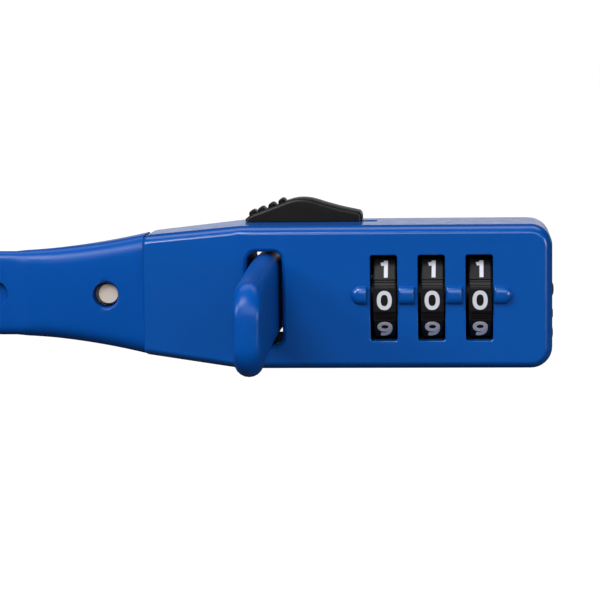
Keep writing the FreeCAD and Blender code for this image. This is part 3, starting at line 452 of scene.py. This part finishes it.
def mouth_cutter(name, centre_x, half_x, half_z, radius, flare):
    """A prism through the front wall whose mouth opens out with a rounded lip."""
    places = [(FRONT + WALL + 2, 0), (FRONT + flare, 0)]
    for angle in (20, 40, 60, 75):
        turn = math.radians(angle)
        places.append((FRONT + flare * (1 - math.sin(turn)), flare * (1 - math.cos(turn))))
    places += [(FRONT - 0.02, flare * 0.9), (FRONT - 2, flare * 0.9)]
    rings = []
    for y, grow in places:
        outline = rounded_rectangle(half_x + grow, half_z + grow, radius + grow)
        rings.append([(centre_x + x, y, z) for x, z in outline])
    return stack(name, rings, None, cap="polygon")


def make_case():
    """The case shell with all its openings."""
    case = case_blank()
    cutters = [case_cavity()]
    for at, x in enumerate(WINDOW_XS, start=1):
        cutters.append(mouth_cutter(f"window_{at}", x, *WINDOW_HALF, WINDOW_CORNER, WINDOW_LIP))
    cutters.append(mouth_cutter("slot", SLOT_X, *SLOT_HALF, SLOT_CORNER, SLOT_LIP))
    cutters.append(block("slider_opening", (-14.0, -7.6, 8.0), (4.4, -5.0, 12.0)))
    deep, tall = DOOR_HALF
    door_low, door_high = (LEFT - 1, STRAP_Y - deep, -tall), (LEFT + WALL + 1, STRAP_Y + deep, tall)
    cutters.append(block("root_door", door_low, door_high))
    cutters.append(lathe("reset_hole", (RIGHT - 3, RESET_Y, 0), (1, 0, 0), ((0, 1.2), (5, 1.2)), None))
    carve(case, cutters, sharp=28)
    smooth = case.modifiers.new("flat faces", "WEIGHTED_NORMAL")
    smooth.keep_sharp = True
    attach(case, "head")
    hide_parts("front_case")


def ridge_bar(name, start, stop, round_left, round_right):
    """One length of the index ridge, with its free ends rounded."""
    middle, half = (start + stop) / 2, (stop - start) / 2
    rings = []
    for angle in (90, 72, 54, 36, 18, 0, -1):
        turn = math.radians(max(angle, 0))
        inset = RIDGE_ROUND * (1 - math.cos(turn))
        y = FRONT - RIDGE_PROUD * math.sin(turn) if angle >= 0 else FRONT + 0.6
        radius_left = (RIDGE_HALF - 0.02 - inset) if round_left else 0.12
        radius_right = (RIDGE_HALF - 0.02 - inset) if round_right else 0.12
        left_in = inset if round_left else inset * 0.35
        right_in = inset if round_right else inset * 0.35
        ring = []
        for sign_x, sign_z, first in ((1, 1, 0), (-1, 1, 90), (-1, -1, 180), (1, -1, 270)):
            radius = radius_right if sign_x > 0 else radius_left
            side = half - (right_in if sign_x > 0 else left_in)
            for step in range(7):
                turn_at = math.radians(first + 90 * step / 6)
                x = sign_x * (side - radius) + radius * math.cos(turn_at)
                z = sign_z * (RIDGE_HALF - inset - radius) + radius * math.sin(turn_at)
                ring.append((middle + x, y, RIDGE_Z + z))
        rings.append(ring)
    bar = stack(name, rings, CASE_BLUE, cap="polygon", sharp=50)
    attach(bar, "head")


def make_ridge():
    """The ridge in four lengths, each starting at a window's edge and stopping short of the next."""
    gap = 0.42
    half = WINDOW_HALF[0]
    starts = [RIDGE_START] + [x + half + 0.12 for x in WINDOW_XS]
    stops = [x - half - gap for x in WINDOW_XS] + [RIDGE_STOP]
    for at, (start, stop) in enumerate(zip(starts, stops), start=1):
        ridge_bar(f"index_ridge_{at}", start, stop, at == 1, at == 4)


# The dials


def sector_profile():
    """One digit's share of a wheel's rim: (degrees from the digit, radius) points."""
    flat = DIAL_RADIUS * math.cos(math.radians(PANEL_HALF))
    panel = [(angle, flat / math.cos(math.radians(angle))) for angle in PANEL_ANGLES]
    ribs = [(13.1, 7.2), (13.9, 7.2), (14.2, 7.38), (15.2, 7.38), (15.5, 7.15), (16.5, 7.15), (16.8, 7.34)]
    mirrored = [(SECTOR - angle, radius) for angle, radius in reversed(ribs)]
    return panel + ribs + mirrored


def on_dial(x, degrees, radius):
    """A point at an angle round a dial: 0 faces front, and positive angles go up."""
    turn = math.radians(degrees + DIAL_SLACK)
    return (x, DIAL_Y - radius * math.cos(turn), radius * math.sin(turn))


def make_wheel(at, x):
    """A wheel with ten flat panels and fine ribs between them."""
    profile = [(digit * SECTOR + angle, radius) for digit in range(10) for angle, radius in sector_profile()]
    chamfer = 0.22
    places = [
        (-DIAL_HALF, None),
        (-DIAL_HALF, chamfer),
        (-DIAL_HALF + chamfer, 0),
        (DIAL_HALF - chamfer, 0),
        (DIAL_HALF, chamfer),
        (DIAL_HALF, None),
    ]
    points = []
    for offset, inward in places:
        for angle, radius in profile:
            points.append(on_dial(x + offset, angle, DIAL_BORE if inward is None else radius - inward))
    count = len(profile)
    faces = stack_faces(count, len(places))
    last = (len(places) - 1) * count
    faces += [(last + i, last + (i + 1) % count, (i + 1) % count, i) for i in range(count)]
    mesh = make_mesh(f"dial_rim_{at}", points, faces)
    wheel = add_object(f"dial_rim_{at}", mesh, DIAL_BLACK, sharp=25)
    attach(wheel, f"dial_{at}")
    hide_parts(f"dial_wheel_{at}")


def ellipse(x, y, half_x, half_y, power=2.0, steps=40):
    """A closed rounded loop; a higher power makes it squarer."""
    loop = []
    for step in range(steps):
        turn = 2 * math.pi * step / steps
        across, up = math.cos(turn), math.sin(turn)
        across = math.copysign(abs(across) ** (2 / power), across)
        up = math.copysign(abs(up) ** (2 / power), up)
        loop.append((x + half_x * across, y + half_y * up))
    return loop


def digit_strokes(digit):
    """The strokes of a digit about its middle: (closed, points) pairs."""
    top, side = DIGIT_TALL / 2 - DIGIT_STROKE / 2, DIGIT_WIDE / 2 - DIGIT_STROKE / 2
    one_flag = [(0.25, 1.1), (0.0, 0.92), (-0.5, 0.78)]
    two = [(-0.8, 0.5), (-0.6, 0.93), (0, 1.08), (0.6, 0.9), (0.74, 0.4), (-0.75, -1.1)]
    three_top = [(-0.75, 0.75), (-0.3, 1.06), (0.3, 1.06), (0.66, 0.7), (0.5, 0.25), (-0.1, 0.08)]
    three_foot = [(-0.1, 0.1), (0.55, -0.05), (0.8, -0.55), (0.4, -1.02), (-0.25, -1.08), (-0.8, -0.72)]
    five = [(-0.6, 0.02), (0, 0.28), (0.6, 0.1), (0.8, -0.4), (0.5, -0.95), (-0.1, -1.08), (-0.8, -0.75)]
    six = [(0.6, 1.0), (0.1, 1.08), (-0.45, 0.85), (-0.76, 0.25), (-0.8, -0.4)]
    seven = [(0.7, 1.0), (0.1, 0.1), (-0.2, -1.37)]
    strokes = {
        0: [(True, ellipse(0, 0, side, top, 2.3))],
        1: [(False, [(0.22, -1.37), (0.22, 1.37)]), (False, smooth_line(one_flag))],
        2: [(False, smooth_line(two)), (False, [(-0.95, -1.08), (1.0, -1.08)])],
        3: [(False, smooth_line(three_top)), (False, smooth_line(three_foot))],
        4: [
            (False, [(0.35, -1.37), (0.35, 1.37)]),
            (False, [(0.3, 1.15), (-0.8, -0.5)]),
            (False, [(-1.05, -0.55), (1.05, -0.55)]),
        ],
        5: [
            (False, [(0.85, 1.08), (-0.75, 1.08)]),
            (False, [(-0.52, 1.1), (-0.62, 0.0)]),
            (False, smooth_line(five)),
        ],
        6: [(True, ellipse(0, -0.4, side, 0.68, 2.1)), (False, smooth_line(six))],
        7: [(False, [(-0.95, 1.08), (0.98, 1.08)]), (False, smooth_line(seven))],
        8: [(True, ellipse(0, 0.55, 0.66, 0.53, 2.1)), (True, ellipse(0, -0.5, side, 0.58, 2.1))],
        9: [(True, ellipse(0, 0.4, side, 0.68, 2.1)), (False, [(-x, -y) for x, y in smooth_line(six)])],
    }
    return strokes[digit]


def stroke_faces(points, closed, first, proud):
    """A stroke's slab: its corner points (x, y, height) and its faces."""
    line = [Vector(point) for point in points]
    count = len(line)
    corners, faces = [], []
    for at, point in enumerate(line):
        before = line[at - 1] if closed or at else point
        after = line[(at + 1) % count] if closed or at < count - 1 else point
        way = (after - before).normalized()
        normal = Vector((-way.y, way.x)) * DIGIT_STROKE / 2
        for edge in (point + normal, point - normal):
            corners += [(edge.x, edge.y, 0.0), (edge.x, edge.y, proud)]
    for at in range(count if closed else count - 1):
        low, high = first + 4 * at, first + 4 * ((at + 1) % count)
        faces += [
            (low + 1, high + 1, high + 3, low + 3), (low, low + 2, high + 2, high),
            (low, high, high + 1, low + 1), (low + 2, low + 3, high + 3, high + 2),
        ]
    if not closed:
        end = first + 4 * (count - 1)
        faces += [(first, first + 1, first + 3, first + 2), (end, end + 2, end + 3, end + 1)]
    return corners, faces


def digit_shape(digit):
    """A digit's corner points and faces, flat, in millimetres about its middle."""
    points, faces = [], []
    for at, (closed, line) in enumerate(digit_strokes(digit)):
        corners, sides = stroke_faces(line, closed, len(points), DIGIT_PROUD - 0.01 * at)
        points += corners
        faces += sides
    return points, faces


def make_digits(at, x):
    """The ten painted digits of a dial, as thin slabs on its panels."""
    flat = DIAL_RADIUS * math.cos(math.radians(PANEL_HALF))
    points, faces = [], []
    for digit in range(10):
        base = Vector(on_dial(x - 0.05, digit * SECTOR, flat + 0.01))
        turn = math.radians(digit * SECTOR + DIAL_SLACK)
        up = Vector((0, math.sin(turn), math.cos(turn)))
        out = Vector((0, -math.cos(turn), math.sin(turn)))
        corners, sides = digit_shape(digit)
        first = len(points)
        points += [base + Vector((across, 0, 0)) + up * high + out * proud for across, high, proud in corners]
        faces += [tuple(first + corner for corner in side) for side in sides]
    digits = add_object(f"dial_digits_{at}", make_mesh(f"dial_digits_{at}", points, faces), DIGIT_PAINT)
    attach(digits, f"dial_{at}")


def make_dials():
    """The wheels and their digits."""
    for at, x in enumerate(DIAL_XS, start=1):
        make_wheel(at, x)
        make_digits(at, x)


# The thumb slider and the reset button


def slider_top():
    """The slider's upper line from its pointed left end to its right end."""
    peak = [(-14.95, 10.9), (-14.1, 11.5), (-12.2, 12.2), (-10.2, 12.93), (-8.4, 13.6), (-6.9, 13.85)]
    fall = [(-5.2, 13.7), (-3.2, 13.1), (-0.8, 12.43), (1.4, 11.95), (1.95, 11.74), (2.18, 11.27)]
    return smooth_line(peak + fall, steps=4)


def slider_ring(y, inset):
    """The slider's section drawn in from its upper line."""
    top = slider_top()
    ring = []
    for at, point in enumerate(top):
        ahead = top[min(at + 1, len(top) - 1)] - top[max(at - 1, 0)]
        normal = Vector((-ahead.y, ahead.x)).normalized()
        inner = point - normal * inset
        ring.append((min(inner.x, SLIDER_RIGHT - 0.02), y, max(inner.y, SLIDER_FOOT + 0.02)))
    return ring + [(SLIDER_RIGHT - inset, y, SLIDER_FOOT), (SLIDER_LEFT + inset, y, SLIDER_FOOT)]


def make_slider():
    """The thumb slider: a humped body with thumb ribs on its left shoulder, and its stem."""
    turns = [math.radians(angle) for angle in (90, 70, 50, 30, 15, 0)]
    insets = [(SLIDER_ROUND * (1 - math.sin(turn)), SLIDER_ROUND * (1 - math.cos(turn))) for turn in turns]
    rings = [slider_ring(SLIDER_FRONT + behind, inset) for behind, inset in insets]
    rings += [slider_ring(SLIDER_BACK - behind, inset) for behind, inset in reversed(insets)]
    body = stack("slider_body", rings, BLACK, cap="polygon")
    ribs = []
    profile = ((0, 0.3), (0.15, 0.48), (0.4, 0.55), (3.8, 0.55), (4.05, 0.48), (4.2, 0.3))
    for x, z in ((-13.95, 11.57), (-12.65, 12.03), (-11.1, 12.64), (-9.6, 13.25)):
        ribs.append(lathe("rib", (x, -7.1, z), (0, 1, 0), profile, BLACK, steps=20))
    stem = block("stem", (-13.75, -7.5, 8.2), (1.95, -5.1, 10.7))
    carve(body, ribs + [stem], "UNION")
    body.name = "thumb_piece"
    body.data.materials.clear()
    body.data.materials.append(BLACK)
    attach(body, "slider")
    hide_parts("thumb_slider")


def make_reset_nub():
    """The reset button with its domed end and collar."""
    collar = ((0, 1.1), (0.7, 1.1), (0.7, 1.6), (1.45, 1.6))
    dome = ((1.45, 1.1), (3.35, 1.1), (3.6, 1.0), (3.75, 0.75), (3.8, 0.4))
    nub = lathe("reset_nub", (26.5, RESET_Y, 0), (1, 0, 0), collar + dome, BLACK)
    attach(nub, "reset")
    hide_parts("reset_button")


def make_end_marks():
    """The two raised marks on the dial end: a triangle and a dot that show which way to press."""
    triangle = []
    for x, shrink in ((29.6, 1.0), (29.95, 1.0), (30.05, 0.82)):
        corners = ((-9.2, -2.4), (-6.8, -3.05), (-9.2, -3.7))
        triangle.append([(x, -8.4 + (y + 8.4) * shrink, -3.05 + (z + 3.05) * shrink) for y, z in corners])
    mark = stack("end_mark_triangle", triangle, CASE_BLUE, cap="polygon")
    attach(mark, "head")
    profile = ((0, 0.85), (0.3, 0.85), (0.42, 0.7), (0.48, 0.35))
    dot = lathe("end_mark_dot", (29.6, -8.0, -6.0), (1, 0, 0), profile, CASE_BLUE)
    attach(dot, "head")


def make_springs():
    """The coil springs in place of their plain outer shapes."""
    back = coil("return_coil", (-0.55, DIAL_Y, 0), (1, 0, 0), 3.3, 1.95, 0.24, 3, SPRING_STEEL)
    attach(back, "head")
    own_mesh(back)
    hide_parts("return_spring")
    reset = coil("reset_coil", (24.1, RESET_Y, 0), (1, 0, 0), 3.04, 1.4, 0.17, 5, SPRING_STEEL)
    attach(reset, "head")
    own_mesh(reset)
    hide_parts("reset_spring")
    torsion = coil("pawl_coil", (-19.6, -7.0, -6.0), (0, 0, 1), 1.1, 1.45, 0.2, 2.5, SPRING_STEEL)
    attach(torsion, "head")
    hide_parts("pawl_spring")


# The strap


def strap_drop(y):
    """How far the strap's middle has dropped at a depth, easing in behind the head."""
    past = y - DROP_START
    if past <= -DROP_SOFT:
        return 0.0
    if past >= DROP_SOFT:
        return DROP_SLOPE * past
    return DROP_SLOPE * (past + DROP_SOFT) ** 2 / (4 * DROP_SOFT)


def strap_station(x, y, direction, wide=STRAP_WIDTH, thick=STRAP_THICK, height=None):
    """A cross-section's place, its outward way and its size."""
    outward = Vector((-direction[1], direction[0], 0)).normalized()
    z = -strap_drop(y) if height is None else height
    return (Vector((x, y, z)), outward, wide, thick)


def root_station(x):
    """A cross-section of the straight root, flared towards the head."""
    along = x - (LEFT - FLARE)
    if along <= 0:
        return strap_station(x, STRAP_Y, (-1, 0))
    rise = (ROOT_WIDTH - STRAP_WIDTH) / 2
    radius = (FLARE**2 + rise**2) / (2 * rise)
    wide = STRAP_WIDTH + 2 * (radius - math.sqrt(radius**2 - along**2))
    thick = STRAP_THICK + (ROOT_THICK - STRAP_THICK) * (along / FLARE) ** 1.25
    return strap_station(x, STRAP_Y, (-1, 0), wide, thick)


def side_station(degrees):
    """A cross-section on the side arc."""
    angle = math.radians(-90 - degrees)
    x, y = ARC_X + SIDE_RADIUS * math.cos(angle), ARC_Y + SIDE_RADIUS * math.sin(angle)
    return strap_station(x, y, (math.sin(angle), -math.cos(angle)))


def return_station(degrees):
    """A cross-section on the return arc."""
    angle = math.radians(180 - degrees)
    x, y = RETURN_X + RETURN_RADIUS * math.cos(angle), ARC_Y + RETURN_RADIUS * math.sin(angle)
    return strap_station(x, y, (math.sin(angle), -math.cos(angle)))


def tail_station(y):
    """A cross-section of the straight tail, which curls and sags a little past the head."""
    past = max(0.0, FRONT - y)
    curl = TAIL_CURL * (past / TAIL_REACH) ** 2
    sag = TAIL_SAG * past / TAIL_REACH
    left = y - (FRONT - TAIL_REACH)
    swell = min(1.0, (ARC_Y - y) / 30.0)
    wide, thick = STRAP_WIDTH + 0.2 * swell, STRAP_THICK + 0.45 * swell
    if left < TIP_ROUND:
        wide -= 2 * (TIP_ROUND - math.sqrt(max(0.0, TIP_ROUND**2 - (TIP_ROUND - left) ** 2)))
    if left < TIP_LIP:
        thick -= 1.5 * (TIP_LIP - math.sqrt(max(0.0, TIP_LIP**2 - (TIP_LIP - left) ** 2)))
    lean = -2 * TAIL_CURL * past / TAIL_REACH**2
    height = -strap_drop(y) if past == 0 else -sag
    return strap_station(SLOT_X + curl, y, (-lean, -1), wide, thick, height)


def spread(start, stop, step):
    """Evenly spaced values between two ends, near a step."""
    count = max(1, round(abs(stop - start) / step))
    return [start + (stop - start) * at / count for at in range(count + 1)]


def strap_section(station):
    """The ring of points of one rounded cross-section."""
    centre, outward, wide, thick = station
    fuller = min(1.0, max(0.0, (thick - STRAP_THICK) / 0.45)) if thick < 4 else 0.0
    radius = min((0.42 + 0.07 * fuller) * thick, 2.3, 0.49 * wide)
    ring = []
    outline = [Vector(corner) for corner in rounded_rectangle(thick / 2, wide / 2, radius)]
    count = len(outline)
    long_sides = (count // 2 - 1, count - 1)
    for at, corner in enumerate(outline):
        after = outline[(at + 1) % count]
        cuts = LONG_SIDE_CUTS if at in long_sides else 1
        for share in (step / cuts for step in range(cuts)):
            across, up = corner.lerp(after, share)
            ring.append(centre + outward * across + Vector((0, 0, up)))
    return ring


def strap_runs():
    """The cross-sections of each strap piece, from the middle of one link to the middle of the next."""
    first_cut, second_cut = SIDE_CUTS
    step = math.degrees(STATION_GAP / SIDE_RADIUS)
    back_step = math.degrees(STATION_GAP / RETURN_RADIUS)
    root = [root_station(x) for x in spread(LEFT - 0.02, ARC_X, 1.0)]
    runs = [root + [side_station(a) for a in spread(0, first_cut, step)[1:]]]
    runs.append([side_station(a) for a in spread(first_cut, second_cut, step)])
    third = [side_station(a) for a in spread(second_cut, 90, step)]
    runs.append(third + [return_station(a) for a in spread(0, RETURN_CUTS[0], back_step)[1:]])
    for start, stop in zip(RETURN_CUTS, RETURN_CUTS[1:]):
        runs.append([return_station(a) for a in spread(start, stop, back_step)])
    last = [return_station(a) for a in spread(RETURN_CUTS[-1], 180, back_step)]
    last += [tail_station(y) for y in spread(ARC_Y, -43.0, 1.4)[1:]]
    tip = FRONT - TAIL_REACH
    last += [tail_station(tip + left) for left in (4.3, 3.6, 2.9, 2.3, 1.8, 1.3, 0.9, 0.55, 0.3, 0.12, 0.02)]
    runs.append(last)
    return runs


def bend_points():
    """Where the strap bends and which way it runs there, in order from the head."""
    stations = [side_station(a) for a in SIDE_BENDS] + [return_station(a) for a in RETURN_BENDS]
    return [(centre, Vector((outward.y, -outward.x, 0))) for centre, outward, _, _ in stations]


def peephole(station):
    """A cutter for one round hole from the outer face down to the core, with a softened mouth."""
    centre, outward, _, thick = station
    face = thick / 2
    mouth = ((face - 0.12, 1.98), (face + 0.02, 2.2), (face + 1, 2.25))
    profile = ((0.58, HOLE_RADIUS), (face - 0.3, HOLE_RADIUS), *mouth)
    return lathe("hole", centre, outward, profile, None, steps=36)


def make_root_stud():
    """The steel stud that shows in the deep first hole of the root."""
    centre, outward, _, thick = root_station(LEFT - HOLE_INSET)
    top = thick / 2 - 0.95
    aside = Vector((0.33, 0, 0.15))
    profile = ((0.55, 1.5), (top - 0.12, 1.5), (top, 1.4))
    stud = lathe("root_stud", centre + aside, outward, profile, CORE_STEEL)
    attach(stud, "head")


def hole_stations(run):
    """The holes of each strap piece."""
    on_root = {1: (HOLE_INSET, HOLE_INSET + HOLE_PITCH)}
    on_side = {1: (25,), 2: (37, 63), 3: (77,)}
    on_return = {3: (11,), 4: (33, 57), 5: (78, 102), 6: (123, 147), 7: (164,)}
    stations = [root_station(LEFT - inset) for inset in on_root.get(run, ())]
    stations += [side_station(angle) for angle in on_side.get(run, ())]
    return stations + [return_station(angle) for angle in on_return.get(run, ())]


def tooth_cutter():
    """All the ratchet teeth along the tail's inner face, as wedges to cut."""
    points, faces = [], []
    face_x = SLOT_X - STRAP_THICK / 2
    for at in range(TOOTH_COUNT):
        y = -40.0 + at * TOOTH_PITCH
        top = y + TOOTH_LONG
        z = -strap_drop(y)
        for x, place in ((face_x - 1, y), (face_x - 1, top), (face_x, top), (face_x + TOOTH_DEEP, y)):
            points += [(x, place, z - TOOTH_HALF), (x, place, z + TOOTH_HALF)]
        base = at * 8
        faces += [(base, base + 2, base + 4, base + 6), (base + 1, base + 7, base + 5, base + 3)]
        for side in range(4):
            after = (side + 1) % 4
            faces.append((base + 2 * side, base + 2 * side + 1, base + 2 * after + 1, base + 2 * after))
    return add_object("teeth", make_mesh("teeth", points, faces), None)


def make_strap():
    """The seven strap pieces, one for each bend, with their holes and the tail's teeth."""
    for at, (run, (centre, direction)) in enumerate(zip(strap_runs(), bend_points()), start=1):
        rings = [strap_section(station) for station in run]
        piece = stack(f"strap_length_{at}", rings, STRAP_BLUE, cap="polygon", sharp=40)
        cutters = [peephole(station) for station in hole_stations(at)]
        if at == 7:
            cutters.append(tooth_cutter())
        carve(piece, cutters, sharp=40)
        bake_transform(piece)
        replaced = ["strap_root_cover", "strap_cover_1"] if at == 1 else [f"strap_cover_{at}"]
        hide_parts(*replaced)


# The CAD nodes that stay


def paint_nodes():
    """Gives each CAD node that stays its material."""
    # The slot liner, pawl and dial cage get the darkened steel, as painted shade in the slot and the windows.
    finishes_and_painted_shade = {
        "back_cover": CASE_BLUE, "cover_screws": STEEL, "slot_liner": PAINTED_SHADE_STEEL, "pawl": PAINTED_SHADE_STEEL,
        "pawl_pin": STEEL, "slider_carrier": STEEL, "code_shaft": BRASS, "dial_cage": PAINTED_SHADE_STEEL,
        "detent_spring": SPRING_STEEL, "anchor_block": STEEL, "anchor_pins": STEEL,
    }
    # The code sleeves take the dials' black in place of brass, as painted shade beside the wheels in the
    # windows.
    for at in (1, 2, 3):
        finishes_and_painted_shade[f"code_sleeve_{at}"] = DIAL_BLACK
    for name, node in nodes.items():
        if name.startswith("strap_core") or name == "strap_root_core":
            finishes_and_painted_shade[name] = CORE_STEEL
    for name, material in finishes_and_painted_shade.items():
        node = nodes[name]
        if not node.data.materials:
            node.data.materials.append(material)
        for slot in node.material_slots:
            slot.link = "OBJECT"
            slot.material = material


# The surroundings

DIM_WORLD, BRIGHT_WORLD, BURNT_WORLD = 0.015, 0.9, 1.25
BACKDROP_EDGE = (0.72, 0.88)
FLOOR_LEVEL, FLOOR_HALF = -20.6, 6000
CAMERA_PLACE = (18.37, -333.47, 36.15)
CAMERA_YAW, CAMERA_PITCH, CAMERA_ROLL = 4.46, 6.51, -0.76
SENSOR, LENS = 36, 133.638


def make_camera():
    """The camera at the photograph's viewing angle."""
    yaw, pitch, roll = (math.radians(angle) for angle in (CAMERA_YAW, CAMERA_PITCH, CAMERA_ROLL))
    forward = Vector((-math.sin(yaw) * math.cos(pitch), math.cos(yaw) * math.cos(pitch), -math.sin(pitch)))
    right = Vector((math.cos(yaw), math.sin(yaw), 0))
    up = right.cross(forward)
    turned_right = right * math.cos(roll) + up * math.sin(roll)
    turned_up = up * math.cos(roll) - right * math.sin(roll)
    camera = bpy.data.objects.new("camera", bpy.data.cameras.new("camera"))
    scene.collection.objects.link(camera)
    camera.data.sensor_width = SENSOR
    camera.data.lens = LENS
    matrix = Matrix((turned_right, turned_up, -forward)).transposed().to_4x4()
    matrix.translation = Vector(CAMERA_PLACE) * MM
    camera.matrix_world = matrix
    camera.data.clip_start = 0.01
    camera.data.clip_end = 20
    scene.camera = camera


def area_light(name, place, target, size, energy, colour=(1, 1, 1)):
    """A soft rectangular light aimed at a point; lengths in metres."""
    light = bpy.data.lights.new(name, "AREA")
    light.shape = "RECTANGLE"
    light.size, light.size_y = size
    light.energy = energy
    light.color = colour
    obj = bpy.data.objects.new(name, light)
    scene.collection.objects.link(obj)
    obj.location = place
    obj.rotation_euler = (Vector(target) - Vector(place)).to_track_quat("-Z", "Y").to_euler()


def make_floor():
    """A plain floor under the strap's lowest point: white to the camera and dark in reflections."""
    material, shader = new_material("floor", (0.05, 0.05, 0.05), 0.9)
    shader.inputs["Specular IOR Level"].default_value = 0.1
    shader.inputs["Emission Color"].default_value = (1, 1, 1, 1)
    path = material.node_tree.nodes.new("ShaderNodeLightPath")
    material.node_tree.links.new(path.outputs["Is Camera Ray"], shader.inputs["Emission Strength"])
    signs = ((-1, -1), (1, -1), (1, 1), (-1, 1))
    corners = [(x * FLOOR_HALF, y * FLOOR_HALF, FLOOR_LEVEL) for x, y in signs]
    mesh = bpy.data.meshes.new("floor")
    mesh.from_pydata([Vector(corner) * MM for corner in corners], [], [(0, 1, 2, 3)])
    floor = bpy.data.objects.new("floor", mesh)
    scene.collection.objects.link(floor)
    mesh.materials.append(material)


def make_world():
    """A studio that is white to the camera, bright low behind the head and dim all round it."""
    world = bpy.data.worlds.new("studio")
    scene.world = world
    world.use_nodes = True
    tree = world.node_tree
    background = tree.nodes["Background"]
    background.inputs["Color"].default_value = (0.92, 0.94, 1.0, 1)
    place = tree.nodes.new("ShaderNodeTexCoord")
    tilt = tree.nodes.new("ShaderNodeVectorMath")
    tilt.operation = "DOT_PRODUCT"
    tilt.inputs[1].default_value = (0.0, 1.0, -0.9)
    tree.links.new(place.outputs["Generated"], tilt.inputs[0])
    ranged = tree.nodes.new("ShaderNodeMapRange")
    ranged.interpolation_type = "SMOOTHSTEP"
    ranged.inputs["From Min"].default_value = BACKDROP_EDGE[0]
    ranged.inputs["From Max"].default_value = BACKDROP_EDGE[1]
    ranged.inputs["To Min"].default_value = DIM_WORLD
    ranged.inputs["To Max"].default_value = BRIGHT_WORLD
    tree.links.new(tilt.outputs["Value"], ranged.inputs["Value"])
    path = tree.nodes.new("ShaderNodeLightPath")
    burnt = tree.nodes.new("ShaderNodeMath")
    burnt.operation = "MAXIMUM"
    seen = tree.nodes.new("ShaderNodeMath")
    seen.operation = "MULTIPLY"
    seen.inputs[1].default_value = BURNT_WORLD
    tree.links.new(path.outputs["Is Camera Ray"], seen.inputs[0])
    tree.links.new(seen.outputs[0], burnt.inputs[0])
    tree.links.new(ranged.outputs["Result"], burnt.inputs[1])
    tree.links.new(burnt.outputs[0], background.inputs["Strength"])
    scene.view_settings.view_transform = "Standard"


make_case()
make_ridge()
make_dials()
make_slider()
make_reset_nub()
make_end_marks()
make_springs()
make_strap()
make_root_stud()
paint_nodes()
make_camera()
make_floor()
make_world()
area_light("key", (-0.26, -0.42, 0.6), (0, 0, 0), (0.4, 0.3), 5.0)
area_light("left", (-0.5, -0.35, 0.3), (0, 0, 0), (0.25, 0.2), 2.4)
area_light("right", (0.55, -0.42, 0.07), (0.01, 0, 0), (0.3, 0.3), 2.3)
area_light("front", (0.12, -0.62, 0.3), (0, 0, 0), (0.5, 0.3), 1.8)
area_light("top", (0.0, 0.3, 0.6), (0, 0, 0), (0.8, 0.3), 1.5, (0.93, 0.92, 1.0))
